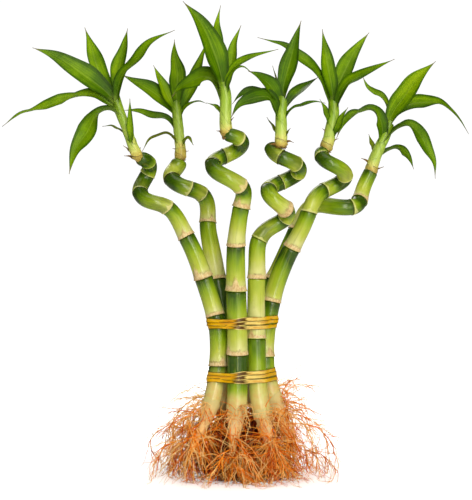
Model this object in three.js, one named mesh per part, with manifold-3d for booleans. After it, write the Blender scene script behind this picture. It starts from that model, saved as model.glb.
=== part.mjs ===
// Lucky bamboo: six rooted stalks with spiral tops and leafy shoots, tied upright by two gold ribbon ties.
// Millimetres. +Z is up and the roots stand on z = 0. The stalks fan out along X, and their shown side faces -Y.

import * as THREE from 'three';
import { mergeVertices } from 'three/addons/utils/BufferGeometryUtils.js';
import Module from 'manifold-3d';

const wasm = await Module();
wasm.setup();

// Driving dimensions

const GAP = 0.3; // between a cane and its crown
const TUFT_GAP = 0.4; // between two root tufts
const SEAT_GAP = 0.35; // between a shoot and the round side of its cane

const CANE_SIDES = 9;
const CANE_STEP = 11; // between the sections of a cane
const LINE_STEP = 3; // between the points of an eased stalk line
const LINE_EASING = 6; // rounds of easing
const LINE_FINENESS = 8; // measured lengths between two of these points
const RING_RISE = 0.45; // how far a node ring stands out of its cane
const RING_REACH = 2.4; // from a ring's crest to the plain cane

const STEM_SIDES = 8;
const STEM_STEP = 10;
const BLADE_THICKNESS = 0.8;
const BLADE_STEP = 11.5; // between the sections of a leaf
const BLADE_FEWEST_STEPS = 4;
const BLADE_FOLD = 0.3; // rise of a leaf's edge over its midrib, for each mm of half breadth
const BLADE_BASE = 0.3; // share of a leaf's breadth where it clasps its stem
const BLADE_WIDEST = 0.42; // share of its length where a leaf is widest
const BLADE_TIP = 0.9; // breadth of a leaf's blunt end
const BLADE_SWELL = 1.4; // how late a leaf swells to its breadth
const BLADE_TAPER = 1.1; // how early it tapers to its tip

const ROOT_CENTRE = new THREE.Vector3(0, 10, 0); // the tufts part along planes that meet over this point
const ROOT_SPREAD = { left: 81, right: 89, front: 70, back: 50 }; // from that point to the furthest tips
const ROOTS_PER_TUFT = 15;
const ROOT_SEED = 101;
const ROOT_RADIUS = { base: 1.05, tip: 0.5 };
const ROOT_SIDES = 3;
const ROOT_STEPS = 6;
const ROOT_STRAY = { from: 0.2, to: 0.8 }; // place of a root in its share of the tuft
const ROOT_MARGIN = 0.06; // share of the tuft's spread that stays free on both sides
const ROOT_SHORTEST = 0.55; // share of the full spread
const ROOT_LEAVES = { from: 0.2, to: 0.95 }; // where roots leave their crown, as shares of its length
const ROOT_RISE = { from: 1, to: 9 }; // how far a root rises first
const ROOT_DROOP = { from: 5, to: 15 }; // how steeply it comes down to its tip
const ROOT_ARCH = { leave: 0.4, settle: 0.25 }; // how far the arch runs on at both ends, as shares of its span
const ROOT_WAVE = { swing: 2.2, rise: 0.6, turns: { from: 1, to: 2 } }; // sideways, and its share upwards
const ROOT_TIPS = { lowest: 1.65, highest: 43.65 }; // height
const ROOT_FLOOR = 1.45; // lowest height of a root's middle

const CROWN_END = 4.2; // radius of a crown's lower end
const CORE_SIDES = 10;
const CORE_RADII = [5, 8.5, 12.5, 14.5, 14]; // of the matted middle of a tuft, from its crown to the floor
const CORE_TOP = 35; // height of the matted middle
const CORE_LEAN = 0.4; // how far its foot leans in, as a share of the way to the middle of the bundle
const CORE_BUMPS = { count: 3, height: 0.14, shift: 1.7 }; // round its sides, as a share of its radius

const RIBBON = { height: 2.6, thickness: 0.8, turns: 3, pitch: 3.1, step: 24 };
const TIE_CLEARANCE = 0.7; // between a tie and the canes it holds
const TIE_HEIGHTS = { tie_upper: 124.3, tie_lower: 82.2 };
const TIE_BACK = Math.PI * 0.56; // bearing of the twisted ends, on the hidden side
const TIE_LEVELS = [-0.5, -0.25, 0, 0.25, 0.5]; // where a ribbon feels the canes, as shares of its height
const CANE_SEARCH = 0.05; // how closely a cane's place at a height is found
const KNOT = { from: 0.2, to: 1.7, width: 2.6, beyond: 0.95 }; // the bar over the turns
const TWIST = { root: 0.5, reach: 12, drop: 10.5, width: 2.4, thickness: 1.3, turns: 1.5, steps: 9 };

const VIEWER = new THREE.Vector3(0, -1, 0); // the side from which the leaves were set out
const UP = new THREE.Vector3(0, 0, 1);

// Stalks
// line: the stalk's centre line, from inside its roots to its cut top
// foot: where the cane starts on that line; rings: the node rings above it; radii: of the cane, evenly spread
// stem: the shoot's centre line; stemRadii: at its foot and top; leaves: [breadth, roll in degrees, midrib]
// A roll of 0 turns a leaf's upper face to the viewer and 90 turns it up; several rolls spread along the leaf.

const STALKS = [
  {
    name: '1',
    line: [
      [-31, -27, 33], [-25, -22, 46], [-19.5, -15, 61], [-16, -10, 75], [-14, -8, 93], [-14.5, -8, 122],
      [-19, -8, 139], [-25, -9, 158], [-33, -9, 180], [-41, -9, 196], [-47.5, -11, 209], [-53.5, -15, 216],
      [-63, -19, 219], [-72.5, -16, 221.5], [-77, -7, 229], [-74.5, 2, 236.5], [-70, 3, 244], [-68, -4, 250],
      [-72, -12, 254], [-77, -16, 254.5],
    ],
    foot: 31,
    rings: [63, 103, 135, 170, 199, 227, 253],
    radii: [6.9, 7, 6.9, 6.6, 5.8, 5.6, 5.4],
    stem: [[-75, -14, 252], [-80, -19, 261], [-83, -20, 270], [-87, -21, 280], [-91, -21, 290], [-94, -21, 300]],
    stemRadii: [4, 2.9],
    leaves: [
      [18, 25, [[-93, -21, 296], [-103, -24, 307], [-120, -30, 319], [-138, -34, 331], [-157, -38, 338]]],
      [13.5, 20, [[-95, -21, 300], [-103, -17, 313], [-110, -12, 328], [-115, -6, 343], [-121, 0, 360]]],
      [13, 30, [[-95, -21, 300], [-94, -16, 314], [-92, -10, 329], [-89, -3, 345], [-87, 4, 360]]],
      [10, [25, 30, 70, 35, 40, 60],
        [[-93, -21, 295], [-92, -27, 308], [-87, -32, 319], [-76, -36, 330], [-66, -38, 342], [-47, -42, 351]]],
      [11.5, [20, 25, 40, 70, 35, 40, 75, 50, 60],
        [[-92, -21, 292], [-101, -24, 298], [-110, -27, 303], [-120, -30, 302], [-135, -32, 298],
          [-148, -34, 293], [-157, -35, 290], [-167, -37, 287], [-180, -40, 277]]],
      [14.5, [30, 50, 60, 25, 15, 20, 30],
        [[-91, -21, 287], [-97, -27, 291], [-103, -33, 290], [-109, -38, 284], [-114, -42, 273],
          [-123, -44, 259], [-128, -44, 240]]],
      [2.4, 45, [[-86, -21, 272], [-92, -18, 277], [-98, -14, 280], [-106, -10, 280]]],
      [5.6, 15, [[-82, -21, 263], [-82, -28, 275], [-82, -33, 287], [-82, -36, 299]]],
    ],
  },
  {
    name: '2',
    line: [
      [-14, 24, 26], [-12, 20, 40], [-9.5, 15, 60], [-8, 12.5, 78], [-8, 12, 123], [-11.5, 15, 141],
      [-15.5, 19, 157], [-20, 26, 182], [-23.5, 31, 202], [-23, 32, 217], [-25.5, 30, 226.5], [-33.5, 24, 231],
      [-44, 20, 233.5], [-52, 24, 238.5], [-54, 34, 245.5], [-50, 39, 251.5], [-46.5, 38, 256.5],
    ],
    foot: 36,
    rings: [86, 134, 184, 209, 222, 240, 261],
    radii: [7.4, 7.4, 7.4, 7.2, 6.2, 5.8, 5],
    stem: [[-47, 38, 251], [-46, 38, 265], [-47, 38, 275], [-48, 37, 286], [-49, 36, 296], [-50, 36, 306]],
    stemRadii: [4.4, 3.2],
    leaves: [
      [13.5, 10, [[-49, 36, 300], [-49, 32, 312], [-48, 26, 326], [-50, 20, 339], [-50, 16, 353]]],
      [9.2, 25, [[-50, 36, 298], [-56, 42, 310], [-61, 50, 319], [-67, 58, 330], [-71, 64, 339]]],
      [16, 35, [[-50, 37, 293], [-57, 34, 303], [-67, 31, 311], [-79, 28, 318], [-94, 26, 326]]],
      [12.5, 30, [[-48, 37, 291], [-43, 42, 304], [-37, 46, 317], [-32, 49, 333], [-24, 50, 358]]],
      [6.4, [40, 60, 65, 70, 70], [[-47, 37, 288], [-43, 34, 298], [-36, 30, 303], [-30, 27, 304], [-24, 24, 302]]],
      [9.6, [40, 60, 60, 35, 30, 60],
        [[-48, 38, 275], [-53, 40, 286], [-59, 42, 292], [-70, 44, 294], [-81, 46, 298], [-95, 48, 299]]],
      [3, 50, [[-47, 38, 265], [-51, 34, 274], [-57, 31, 278], [-64, 29, 276], [-71, 28, 273], [-77, 28, 264]]],
      [3, 40, [[-46, 38, 265], [-43, 34, 272], [-40, 31, 274], [-35, 28, 271]]],
    ],
  },
  {
    name: '3',
    line: [
      [-3, -26, 22], [-2, -23, 33], [0, -21, 49], [1, -19, 64], [1, -18, 88], [1, -18, 125], [0, -20, 151],
      [0, -25, 186], [2, -28, 204], [4.5, -30, 218], [7, -34, 227], [1, -42, 233.5], [-9, -44, 238.5],
      [-17, -38, 243.5], [-18, -28, 250.5], [-11, -21, 255], [-1, -20, 259], [5.5, -28, 264.5], [3, -37, 268.5],
      [-4.5, -41, 270.5], [-9, -40, 271.5],
    ],
    foot: 35,
    rings: [79, 129, 165, 195, 218, 249, 264, 289],
    radii: [7.8, 7.8, 7.7, 7.2, 6.2, 5.8, 5.6, 5.1],
    stem: [[-7, -40, 268], [-8, -41, 280], [-8, -41, 291], [-8, -41, 301], [-10, -41, 311]],
    stemRadii: [4.2, 3.5],
    leaves: [
      [18, 20, [[-10, -41, 304], [-12, -44, 318], [-18, -50, 336], [-26, -57, 353], [-40, -64, 369]]],
      [9.5, 25, [[-10, -41, 306], [-12, -36, 326], [-14, -30, 344], [-15, -25, 358], [-12, -20, 374]]],
      [9.5, 25, [[-9, -41, 305], [-6, -33, 318], [-3, -25, 332], [-1, -17, 346], [4, -10, 360]]],
      [8.4, [30, 35, 40, 45, 55, 60],
        [[-9, -41, 302], [-6, -44, 314], [0, -47, 323], [9, -50, 328], [20, -53, 331], [32, -57, 334]]],
      [6.6, [30, 45, 60, 65, 60], [[-8, -41, 299], [-5, -48, 310], [-1, -55, 318], [5, -61, 320], [12, -66, 315]]],
      [10, [45, 70, 55, 15, 20, 25, 30],
        [[-10, -41, 291], [-15, -37, 306], [-19, -33, 314], [-26, -29, 317], [-37, -24, 313],
          [-45, -19, 309], [-51, -14, 302]]],
      [6, 60, [[-9, -41, 283], [-15, -35, 292], [-19, -30, 295], [-23, -25, 297]]],
    ],
  },
  {
    name: '4',
    line: [
      [29, -25, 20], [25, -20, 33], [22, -16, 48], [18, -12, 66.5], [16.5, -10, 87], [16, -10, 125],
      [16, -12, 150.5], [16.5, -15, 172.5], [17, -17, 188.5], [21.5, -17, 196], [31, -12, 202], [39.5, -13, 206.5],
      [40.5, -23, 212.5], [33.5, -33, 217.5], [26.5, -32, 223], [25, -21, 230], [32.5, -12, 234],
      [43.5, -10, 239], [50.5, -19, 244], [46.5, -30, 249.5], [37, -34, 253], [29.5, -30, 256.5],
      [27.5, -24, 262.5],
    ],
    foot: 35,
    rings: [95, 143, 174, 202, 245, 261, 283],
    radii: [7.5, 7.2, 6.8, 6.5, 6, 5.8, 5.6, 5.3],
    stem: [[35, -33, 253], [35, -32, 266], [35, -32, 277], [35, -32, 288], [36, -32, 298]],
    stemRadii: [4.1, 3.5],
    leaves: [
      [13.5, 15, [[36, -32, 297], [37, -35, 310], [41, -38, 325], [45, -41, 340], [50, -43, 358]]],
      [13.5, 30, [[36, -32, 294], [31, -36, 302], [25, -40, 310], [18, -44, 315], [9, -47, 319]]],
      [3.6, 50, [[35, -32, 298], [33, -24, 309], [31, -16, 319], [29, -10, 328]]],
      [5, [40, 50, 60, 60, 40, 50, 60],
        [[36, -32, 280], [41, -36, 289], [45, -38, 292], [50, -40, 293], [55, -41, 295], [62, -41, 296],
          [69, -40, 295]]],
      [10.8, 40, [[37, -32, 289], [43, -23, 300], [51, -12, 309], [58, 0, 315], [67, 10, 322]]],
      [8, [45, 65, 70, 60, 35, 30, 40],
        [[34, -32, 290], [30, -30, 300], [24, -29, 304], [16, -30, 305], [8, -31, 305], [2, -32, 301],
          [-3, -33, 295]]],
      [10, [40, 60, 65, 50, 25, 25, 35],
        [[34, -32, 280], [30, -38, 292], [25, -43, 299], [17, -47, 299], [8, -50, 296], [2, -52, 292],
          [-4, -54, 282]]],
      [3, 40, [[34, -32, 269], [30, -29, 276], [27, -26, 281], [24, -23, 286]]],
      [3, 40, [[36, -32, 266], [39, -35, 272], [42, -38, 276]]],
    ],
  },
  {
    name: '5',
    line: [
      [42, 3, 30], [37, 4, 45.5], [31, 5, 61.5], [25, 6, 79], [23.5, 6.5, 100], [25.5, 6.5, 124], [31.5, 6, 151.5],
      [38.5, 5, 170.5], [45.5, 3, 185], [53, 1, 199], [58.5, -1, 212.5], [63, 1, 223.5], [70, 8, 229.5],
      [80, 14, 234], [88, 8, 239], [86, -4, 245], [77, -11, 249.5], [69, -8, 253.5], [68, 0, 260.5],
      [72, 4, 265.5],
    ],
    foot: 35,
    rings: [69, 114, 160, 192, 216, 242, 276],
    radii: [7, 7, 7, 6.9, 6.2, 5.9, 5.6, 5.2],
    stem: [[71, 3, 261], [74, 2, 270], [76, 0, 280], [78, 0, 290], [78, 0, 300]],
    stemRadii: [4.4, 3.5],
    leaves: [
      [12.5, 15, [[78, 0, 299], [76, -4, 313], [73, -9, 326], [70, -13, 342], [68, -16, 356]]],
      [15, 25, [[78, 0, 299], [82, 5, 314], [89, 11, 329], [97, 17, 344], [109, 24, 360]]],
      [10, [40, 50, 60, 50, 30, 30, 40, 60],
        [[77, 0, 292], [72, -4, 306], [66, -10, 319], [59, -11, 328], [49, -11, 336], [38, -11, 344],
          [28, -12, 347], [17, -13, 350]]],
      [11, [35, 40, 45, 40, 35, 50],
        [[79, 0, 292], [82, -7, 304], [88, -14, 314], [96, -20, 318], [107, -26, 323], [123, -33, 330]]],
      [5.8, 25, [[77, 0, 272], [81, -7, 280], [84, -13, 288], [88, -19, 294]]],
      [6.2, 35, [[76, 0, 280], [72, -6, 289], [70, -11, 294], [66, -16, 301]]],
    ],
  },
  {
    name: '6',
    line: [
      [20, 35, 24], [18, 30, 39], [16, 24, 59], [14.5, 19.5, 78], [15.5, 20, 117], [22.5, 23, 141], [35.5, 30, 167],
      [45.5, 36, 188], [54.5, 40, 206.5], [58.5, 40, 215], [65.5, 36, 220], [77, 27, 218], [89, 22, 216.5],
      [98.5, 26, 217.5], [102.5, 34, 223.5], [105, 37, 233], [109.5, 38, 242.5], [112, 38, 247.5],
    ],
    foot: 37,
    rings: [88, 138, 186, 246, 258],
    radii: [6.9, 6.7, 6.5, 6.5, 6.2, 5.4],
    stem: [[111, 38, 244], [114, 38, 255], [118, 38, 265], [123, 38, 275], [127, 38, 286]],
    stemRadii: [4.5, 3.3],
    leaves: [
      [12.5, [35, 40, 35, 60, 80, 40, 30, 30],
        [[119, 38, 267], [121, 34, 280], [118, 30, 291], [111, 27, 297], [102, 25, 295], [94, 23, 292],
          [87, 22, 285], [82, 21, 273]]],
      [7.8, [50, 65, 70, 60, 35, 30, 40],
        [[124, 38, 278], [127, 44, 292], [126, 49, 303], [122, 53, 311], [116, 57, 316], [111, 60, 321],
          [107, 63, 330]]],
      [18, 25, [[126, 38, 285], [130, 34, 296], [139, 28, 309], [148, 21, 322], [162, 14, 335]]],
      [12.5, [30, 35, 30, 30, 55, 65, 65, 65],
        [[126, 38, 283], [134, 44, 296], [146, 49, 304], [159, 53, 306], [171, 56, 306], [181, 58, 300],
          [189, 59, 292], [197, 60, 280]]],
      [10.5, [40, 60, 70, 60, 20, 15, 40, 50],
        [[121, 38, 268], [128, 33, 278], [135, 29, 283], [142, 26, 284], [150, 23, 277], [156, 20, 264],
          [161, 18, 253], [162, 17, 240]]],
      [8.3, [50, 70, 70, 25, 25, 40],
        [[118, 38, 259], [127, 43, 265], [134, 48, 267], [141, 52, 264], [146, 55, 259], [150, 57, 250]]],
      [4.8, 30, [[115, 38, 261], [114, 42, 266], [113, 45, 271], [111, 48, 279]]],
    ],
  },
];

// Materials

const finish = (color, roughness, metalness = 0) => new THREE.MeshStandardMaterial({ color, roughness, metalness });

const materials = {
  cane: () => finish('#7ea338', 0.4),
  shoot: () => finish('#3f8a2a', 0.45),
  roots: () => finish('#b8662c', 0.75),
  tie: () => finish('#e0a21c', 0.22, 1),
};

// Closed meshes and solids

function closedGeometry(points, faces) {
  const position = points.flatMap((p) => [p.x, p.y, p.z]);
  const sixVolumes = faces.map(([a, b, c]) => points[a].dot(points[b].clone().cross(points[c])));
  const inward = sixVolumes.reduce((sum, v) => sum + v, 0) < 0;
  const geometry = new THREE.BufferGeometry();
  geometry.setAttribute('position', new THREE.Float32BufferAttribute(position, 3));
  geometry.setIndex(faces.flatMap(([a, b, c]) => (inward ? [a, c, b] : [a, b, c])));
  return geometry;
}

// A skin over sections that have the same number of points, closed at both ends.
function loft(sections) {
  const sides = sections[0].length;
  const last = sections.length - 1;
  const at = (i, j) => i * sides + (j % sides);
  const faces = [];
  for (let i = 0; i < last; i++) {
    for (let j = 0; j < sides; j++) {
      faces.push([at(i, j), at(i, j + 1), at(i + 1, j + 1)]);
      faces.push([at(i, j), at(i + 1, j + 1), at(i + 1, j)]);
    }
  }
  for (let j = 1; j < sides - 1; j++) {
    faces.push([at(0, 0), at(0, j + 1), at(0, j)]);
    faces.push([at(last, 0), at(last, j), at(last, j + 1)]);
  }
  return closedGeometry(sections.flat(), faces);
}

function toSolid(geometry) {
  const merged = mergeVertices(geometry);
  return new wasm.Manifold(
    new wasm.Mesh({
      numProp: 3,
      vertProperties: new Float32Array(merged.attributes.position.array),
      triVerts: new Uint32Array(merged.index.array),
    }),
  );
}

function fuse(geometries) {
  return geometries.map(toSolid).reduce((whole, piece) => whole.add(piece));
}

// The largest body of a solid as a mesh: crumbs that a cut leaves are dropped.
function toGeometry(solid) {
  const bodies = solid.decompose();
  const largest = bodies.reduce((a, b) => (b.volume() > a.volume() ? b : a));
  const { vertProperties, triVerts } = largest.getMesh();
  const geometry = new THREE.BufferGeometry();
  geometry.setAttribute('position', new THREE.BufferAttribute(vertProperties, 3));
  geometry.setIndex(new THREE.BufferAttribute(triVerts, 1));
  return geometry;
}

// Lines and frames

const curveThrough = (points) =>
  new THREE.CatmullRomCurve3(points.map((p) => new THREE.Vector3(...p)), false, 'centripetal');

// A stalk bends in even rounds, so the line through its points is eased.
function easedLine(points) {
  const rough = curveThrough(points);
  let line = rough.getSpacedPoints(Math.round(rough.getLength() / LINE_STEP));
  const last = line.length - 1;
  for (let round = 0; round < LINE_EASING; round++) {
    line = line.map((p, i) => {
      if (i === 0 || i === last) return p;
      return p.clone().multiplyScalar(2).add(line[i - 1]).add(line[i + 1]).multiplyScalar(0.25);
    });
  }
  const curve = new THREE.CatmullRomCurve3(line);
  curve.arcLengthDivisions = line.length * LINE_FINENESS;
  return curve;
}

// A value read from a list that is spread evenly from 0 to 1.
function spread(values, share) {
  const list = [values].flat();
  const place = THREE.MathUtils.clamp(share, 0, 1) * (list.length - 1);
  const i = Math.min(Math.floor(place), list.length - 2);
  return list.length === 1 ? list[0] : THREE.MathUtils.lerp(list[i], list[i + 1], place - i);
}

// Round sections along a curve at the given distances, with frames that don't twist.
function roundSections(curve, distances, sides, radiusAt) {
  const length = curve.getLength();
  let across = new THREE.Vector3(0, 1, 0);
  return distances.map((distance) => {
    const share = THREE.MathUtils.clamp(distance / length, 0, 1);
    const centre = curve.getPointAt(share);
    const tangent = curve.getTangentAt(share);
    across = across.clone().addScaledVector(tangent, -across.dot(tangent)).normalize();
    const along = new THREE.Vector3().crossVectors(tangent, across);
    const radius = radiusAt(distance);
    return Array.from({ length: sides }, (_, j) => {
      const angle = (j / sides) * Math.PI * 2;
      return centre
        .clone()
        .addScaledVector(across, radius * Math.cos(angle))
        .addScaledVector(along, radius * Math.sin(angle));
    });
  });
}

function evenDistances(from, to, step) {
  const count = Math.max(1, Math.round((to - from) / step));
  return Array.from({ length: count + 1 }, (_, i) => from + ((to - from) * i) / count);
}

for (const stalk of STALKS) {
  stalk.curve = easedLine(stalk.line);
  stalk.length = stalk.curve.getLength();
}

// Canes

function caneRadius(stalk, distance) {
  const share = (distance - stalk.foot) / (stalk.length - stalk.foot);
  const rise = stalk.rings.reduce((most, ring) => {
    return Math.max(most, 1 - Math.abs(distance - ring) / RING_REACH);
  }, 0);
  return spread(stalk.radii, share) + RING_RISE * rise;
}

// Sections at each ring's crest and on both sides of it, with plain ones between the rings.
function caneDistances(stalk) {
  const marks = [stalk.foot, ...stalk.rings, stalk.length];
  return marks.slice(1).flatMap((mark, i) => {
    const from = marks[i] + (i === 0 ? 0 : RING_REACH);
    const to = mark === stalk.length ? mark : mark - RING_REACH;
    const plain = to > from ? evenDistances(from, to, CANE_STEP) : [];
    return mark === stalk.length ? plain : [...plain, mark];
  });
}

function caneGeometry(stalk) {
  const sections = roundSections(stalk.curve, caneDistances(stalk), CANE_SIDES, (distance) => {
    return caneRadius(stalk, distance);
  });
  return loft(sections);
}

// The room that the upper half of a cane keeps free round itself.
function caneRoom(stalk) {
  const distances = caneDistances(stalk).filter((distance) => distance > stalk.length / 2);
  const sections = roundSections(stalk.curve, distances, CANE_SIDES, (distance) => {
    return caneRadius(stalk, distance) + SEAT_GAP;
  });
  const cap = stalk.curve.getTangentAt(1).multiplyScalar(SEAT_GAP);
  sections.push(sections.at(-1).map((p) => p.clone().add(cap)));
  return toSolid(loft(sections));
}

// Shoots

function bladeBreadth(share) {
  if (share < BLADE_WIDEST) {
    const rise = Math.sin((share / BLADE_WIDEST) * (Math.PI / 2)) ** BLADE_SWELL;
    return THREE.MathUtils.lerp(BLADE_BASE, 1, rise);
  }
  return Math.cos(((share - BLADE_WIDEST) / (1 - BLADE_WIDEST)) * (Math.PI / 2)) ** BLADE_TAPER;
}

// A thin folded blade: its edge, midrib and edge on the upper face, then on the lower one.
function bladeSection(curve, share, breadth, roll, leaning) {
  const centre = curve.getPointAt(share);
  const tangent = curve.getTangentAt(share);
  const facing = VIEWER.clone().addScaledVector(tangent, -VIEWER.dot(tangent)).normalize();
  const upward = new THREE.Vector3().crossVectors(facing, tangent).multiplyScalar(leaning);
  const turn = THREE.MathUtils.degToRad(roll);
  const normal = facing.multiplyScalar(Math.cos(turn)).addScaledVector(upward, Math.sin(turn));
  const across = new THREE.Vector3().crossVectors(normal, tangent);
  const half = Math.max(BLADE_TIP, breadth * bladeBreadth(share)) / 2;
  const face = (depth) =>
    [-1, 0, 1].map((side) =>
      centre
        .clone()
        .addScaledVector(across, half * side)
        .addScaledVector(normal, half * BLADE_FOLD * Math.abs(side) - depth),
    );
  return [...face(0), ...face(BLADE_THICKNESS)];
}

function bladeGeometry([breadth, roll, midrib]) {
  const curve = curveThrough(midrib);
  const leaning = Math.sign(midrib.at(-1)[0] - midrib[0][0]) || 1;
  const steps = Math.max(BLADE_FEWEST_STEPS, Math.round(curve.getLength() / BLADE_STEP));
  const sections = Array.from({ length: steps + 1 }, (_, i) => {
    return bladeSection(curve, i / steps, breadth, spread(roll, i / steps), leaning);
  });
  const at = (i, lower, column) => i * 6 + lower * 3 + column;
  const faces = [];
  const quad = (a, b, c, d) => faces.push([a, b, c], [a, c, d]);
  for (let i = 0; i < steps; i++) {
    for (const column of [0, 1]) {
      quad(at(i, 0, column), at(i, 0, column + 1), at(i + 1, 0, column + 1), at(i + 1, 0, column));
      // the lower face has the upper one's diagonals
      faces.push([at(i, 1, column), at(i + 1, 1, column + 1), at(i, 1, column + 1)]);
      faces.push([at(i, 1, column), at(i + 1, 1, column), at(i + 1, 1, column + 1)]);
    }
    quad(at(i, 0, 0), at(i + 1, 0, 0), at(i + 1, 1, 0), at(i, 1, 0));
    quad(at(i, 0, 2), at(i, 1, 2), at(i + 1, 1, 2), at(i + 1, 0, 2));
  }
  for (const column of [0, 1]) {
    quad(at(0, 0, column), at(0, 1, column), at(0, 1, column + 1), at(0, 0, column + 1));
    quad(at(steps, 0, column), at(steps, 0, column + 1), at(steps, 1, column + 1), at(steps, 1, column));
  }
  return closedGeometry(sections.flat(), faces);
}

function shootGeometry(stalk) {
  const curve = curveThrough(stalk.stem);
  const length = curve.getLength();
  const stem = loft(
    roundSections(curve, evenDistances(0, length, STEM_STEP), STEM_SIDES, (distance) =>
      spread(stalk.stemRadii, distance / length),
    ),
  );
  return toGeometry(fuse([stem, ...stalk.leaves.map(bladeGeometry)]).subtract(caneRoom(stalk)));
}

// Roots

// A draw from a range, alike on every run.
const draw = ({ from, to }) => THREE.MathUtils.lerp(from, to, THREE.MathUtils.seededRandom());

const crownBearing = (stalk) => {
  const [x, y] = stalk.line[1];
  return Math.atan2(y - ROOT_CENTRE.y, x - ROOT_CENTRE.x);
};

// The bearings between which a stalk's roots spread, half way to its neighbours on both sides.
function rootSector(stalk) {
  const own = crownBearing(stalk);
  const turns = STALKS.filter((other) => other !== stalk).map((other) => {
    return THREE.MathUtils.euclideanModulo(crownBearing(other) - own, Math.PI * 2);
  });
  return {
    from: own - (Math.PI * 2 - Math.max(...turns)) / 2,
    to: own + Math.min(...turns) / 2,
  };
}

function rootReach(bearing) {
  const x = Math.cos(bearing);
  const y = Math.sin(bearing);
  const xReach = x > 0 ? ROOT_SPREAD.right : ROOT_SPREAD.left;
  const yReach = y > 0 ? ROOT_SPREAD.back : ROOT_SPREAD.front;
  return 1 / Math.hypot(x / xReach, y / yReach);
}

// One root: out of the crown, down in an arch and along the floor, with a slight wave.
function rootGeometry(stalk, sector, order) {
  const share = (order + draw(ROOT_STRAY)) / ROOTS_PER_TUFT;
  const bearing = THREE.MathUtils.lerp(
    sector.from,
    sector.to,
    THREE.MathUtils.lerp(ROOT_MARGIN, 1 - ROOT_MARGIN, share),
  );
  const outward = new THREE.Vector3(Math.cos(bearing), Math.sin(bearing), 0);
  const reach = rootReach(bearing) * Math.sqrt(draw({ from: ROOT_SHORTEST ** 2, to: 1 }));
  const start = stalk.curve.getPointAt((draw(ROOT_LEAVES) * stalk.foot) / stalk.length);
  const end = ROOT_CENTRE.clone().addScaledVector(outward, reach);
  end.z = THREE.MathUtils.lerp(ROOT_TIPS.lowest, ROOT_TIPS.highest, draw({ from: 0, to: 1 }) ** 2);
  const span = Math.hypot(end.x - start.x, end.y - start.y);
  const leave = start.clone().addScaledVector(outward, span * ROOT_ARCH.leave);
  leave.z += draw(ROOT_RISE);
  const settle = end.clone().addScaledVector(outward, -span * ROOT_ARCH.settle);
  settle.z += draw(ROOT_DROOP);
  const arch = new THREE.CubicBezierCurve3(start, leave, settle, end);
  const side = new THREE.Vector3().crossVectors(UP, outward);
  const phase = draw({ from: 0, to: Math.PI * 2 });
  const turns = draw(ROOT_WAVE.turns);
  const line = Array.from({ length: ROOT_STEPS + 1 }, (_, i) => {
    const t = i / ROOT_STEPS;
    const swing = ROOT_WAVE.swing * t * Math.sin(phase + t * turns * Math.PI * 2);
    const point = arch.getPoint(t).addScaledVector(side, swing);
    point.z = Math.max(ROOT_FLOOR, point.z + ROOT_WAVE.rise * swing);
    return point;
  });
  const curve = new THREE.CatmullRomCurve3(line);
  const length = curve.getLength();
  return loft(
    roundSections(curve, evenDistances(0, length, length / ROOT_STEPS), ROOT_SIDES, (distance) =>
      THREE.MathUtils.lerp(ROOT_RADIUS.base, ROOT_RADIUS.tip, distance / length),
    ),
  );
}

// The pale crown under the cane, which narrows downwards.
function crownGeometry(stalk) {
  const top = stalk.foot - GAP;
  return loft(
    roundSections(stalk.curve, evenDistances(0, top, CANE_STEP), CANE_SIDES, (distance) =>
      THREE.MathUtils.lerp(CROWN_END, stalk.radii[0], Math.sqrt(distance / top)),
    ),
  );
}

// The matted middle of a tuft, from the crown's lower end to a flat foot on the floor.
function coreGeometry(stalk) {
  const crownEnd = stalk.curve.getPointAt(0);
  const foot = crownEnd.clone().lerp(ROOT_CENTRE, CORE_LEAN);
  const sections = CORE_RADII.map((radius, i) => {
    const t = i / (CORE_RADII.length - 1);
    return Array.from({ length: CORE_SIDES }, (_, j) => {
      const angle = (j / CORE_SIDES) * Math.PI * 2;
      const wave = Math.sin(angle * CORE_BUMPS.count + i * CORE_BUMPS.shift + Number(stalk.name));
      const bump = 1 + CORE_BUMPS.height * wave;
      return new THREE.Vector3(
        THREE.MathUtils.lerp(crownEnd.x, foot.x, t) + radius * bump * Math.cos(angle),
        THREE.MathUtils.lerp(crownEnd.y, foot.y, t) + radius * bump * Math.sin(angle),
        CORE_TOP * (1 - t),
      );
    });
  });
  return loft(sections);
}

function rootsGeometry(stalk) {
  const sector = rootSector(stalk);
  THREE.MathUtils.seededRandom(Number(stalk.name) * ROOT_SEED);
  const strands = Array.from({ length: ROOTS_PER_TUFT }, (_, i) => rootGeometry(stalk, sector, i));
  let tuft = fuse([crownGeometry(stalk), coreGeometry(stalk), ...strands]);
  // each side is cut where the neighbouring tuft begins
  for (const [bearing, turn] of [[sector.from, 1], [sector.to, -1]]) {
    const inward = new THREE.Vector3(-Math.sin(bearing), Math.cos(bearing), 0).multiplyScalar(turn);
    tuft = tuft.trimByPlane(inward.toArray(), inward.dot(ROOT_CENTRE) + TUFT_GAP / 2);
  }
  return toGeometry(tuft);
}

// Ties

// Where the centre line of each cane passes a height, found by halving its straight lower half.
function canesAt(height) {
  return STALKS.map((stalk) => {
    const { name, curve, length } = stalk;
    let low = 0;
    let high = 0.5;
    while ((high - low) * length > CANE_SEARCH) {
      const middle = (low + high) / 2;
      if (curve.getPointAt(middle).z < height) low = middle;
      else high = middle;
    }
    // a leaning cane is wider where a level plane cuts it
    const radius = caneRadius(stalk, low * length) / curve.getTangentAt(low).z;
    return { name, centre: curve.getPointAt(low), radius };
  });
}

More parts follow.
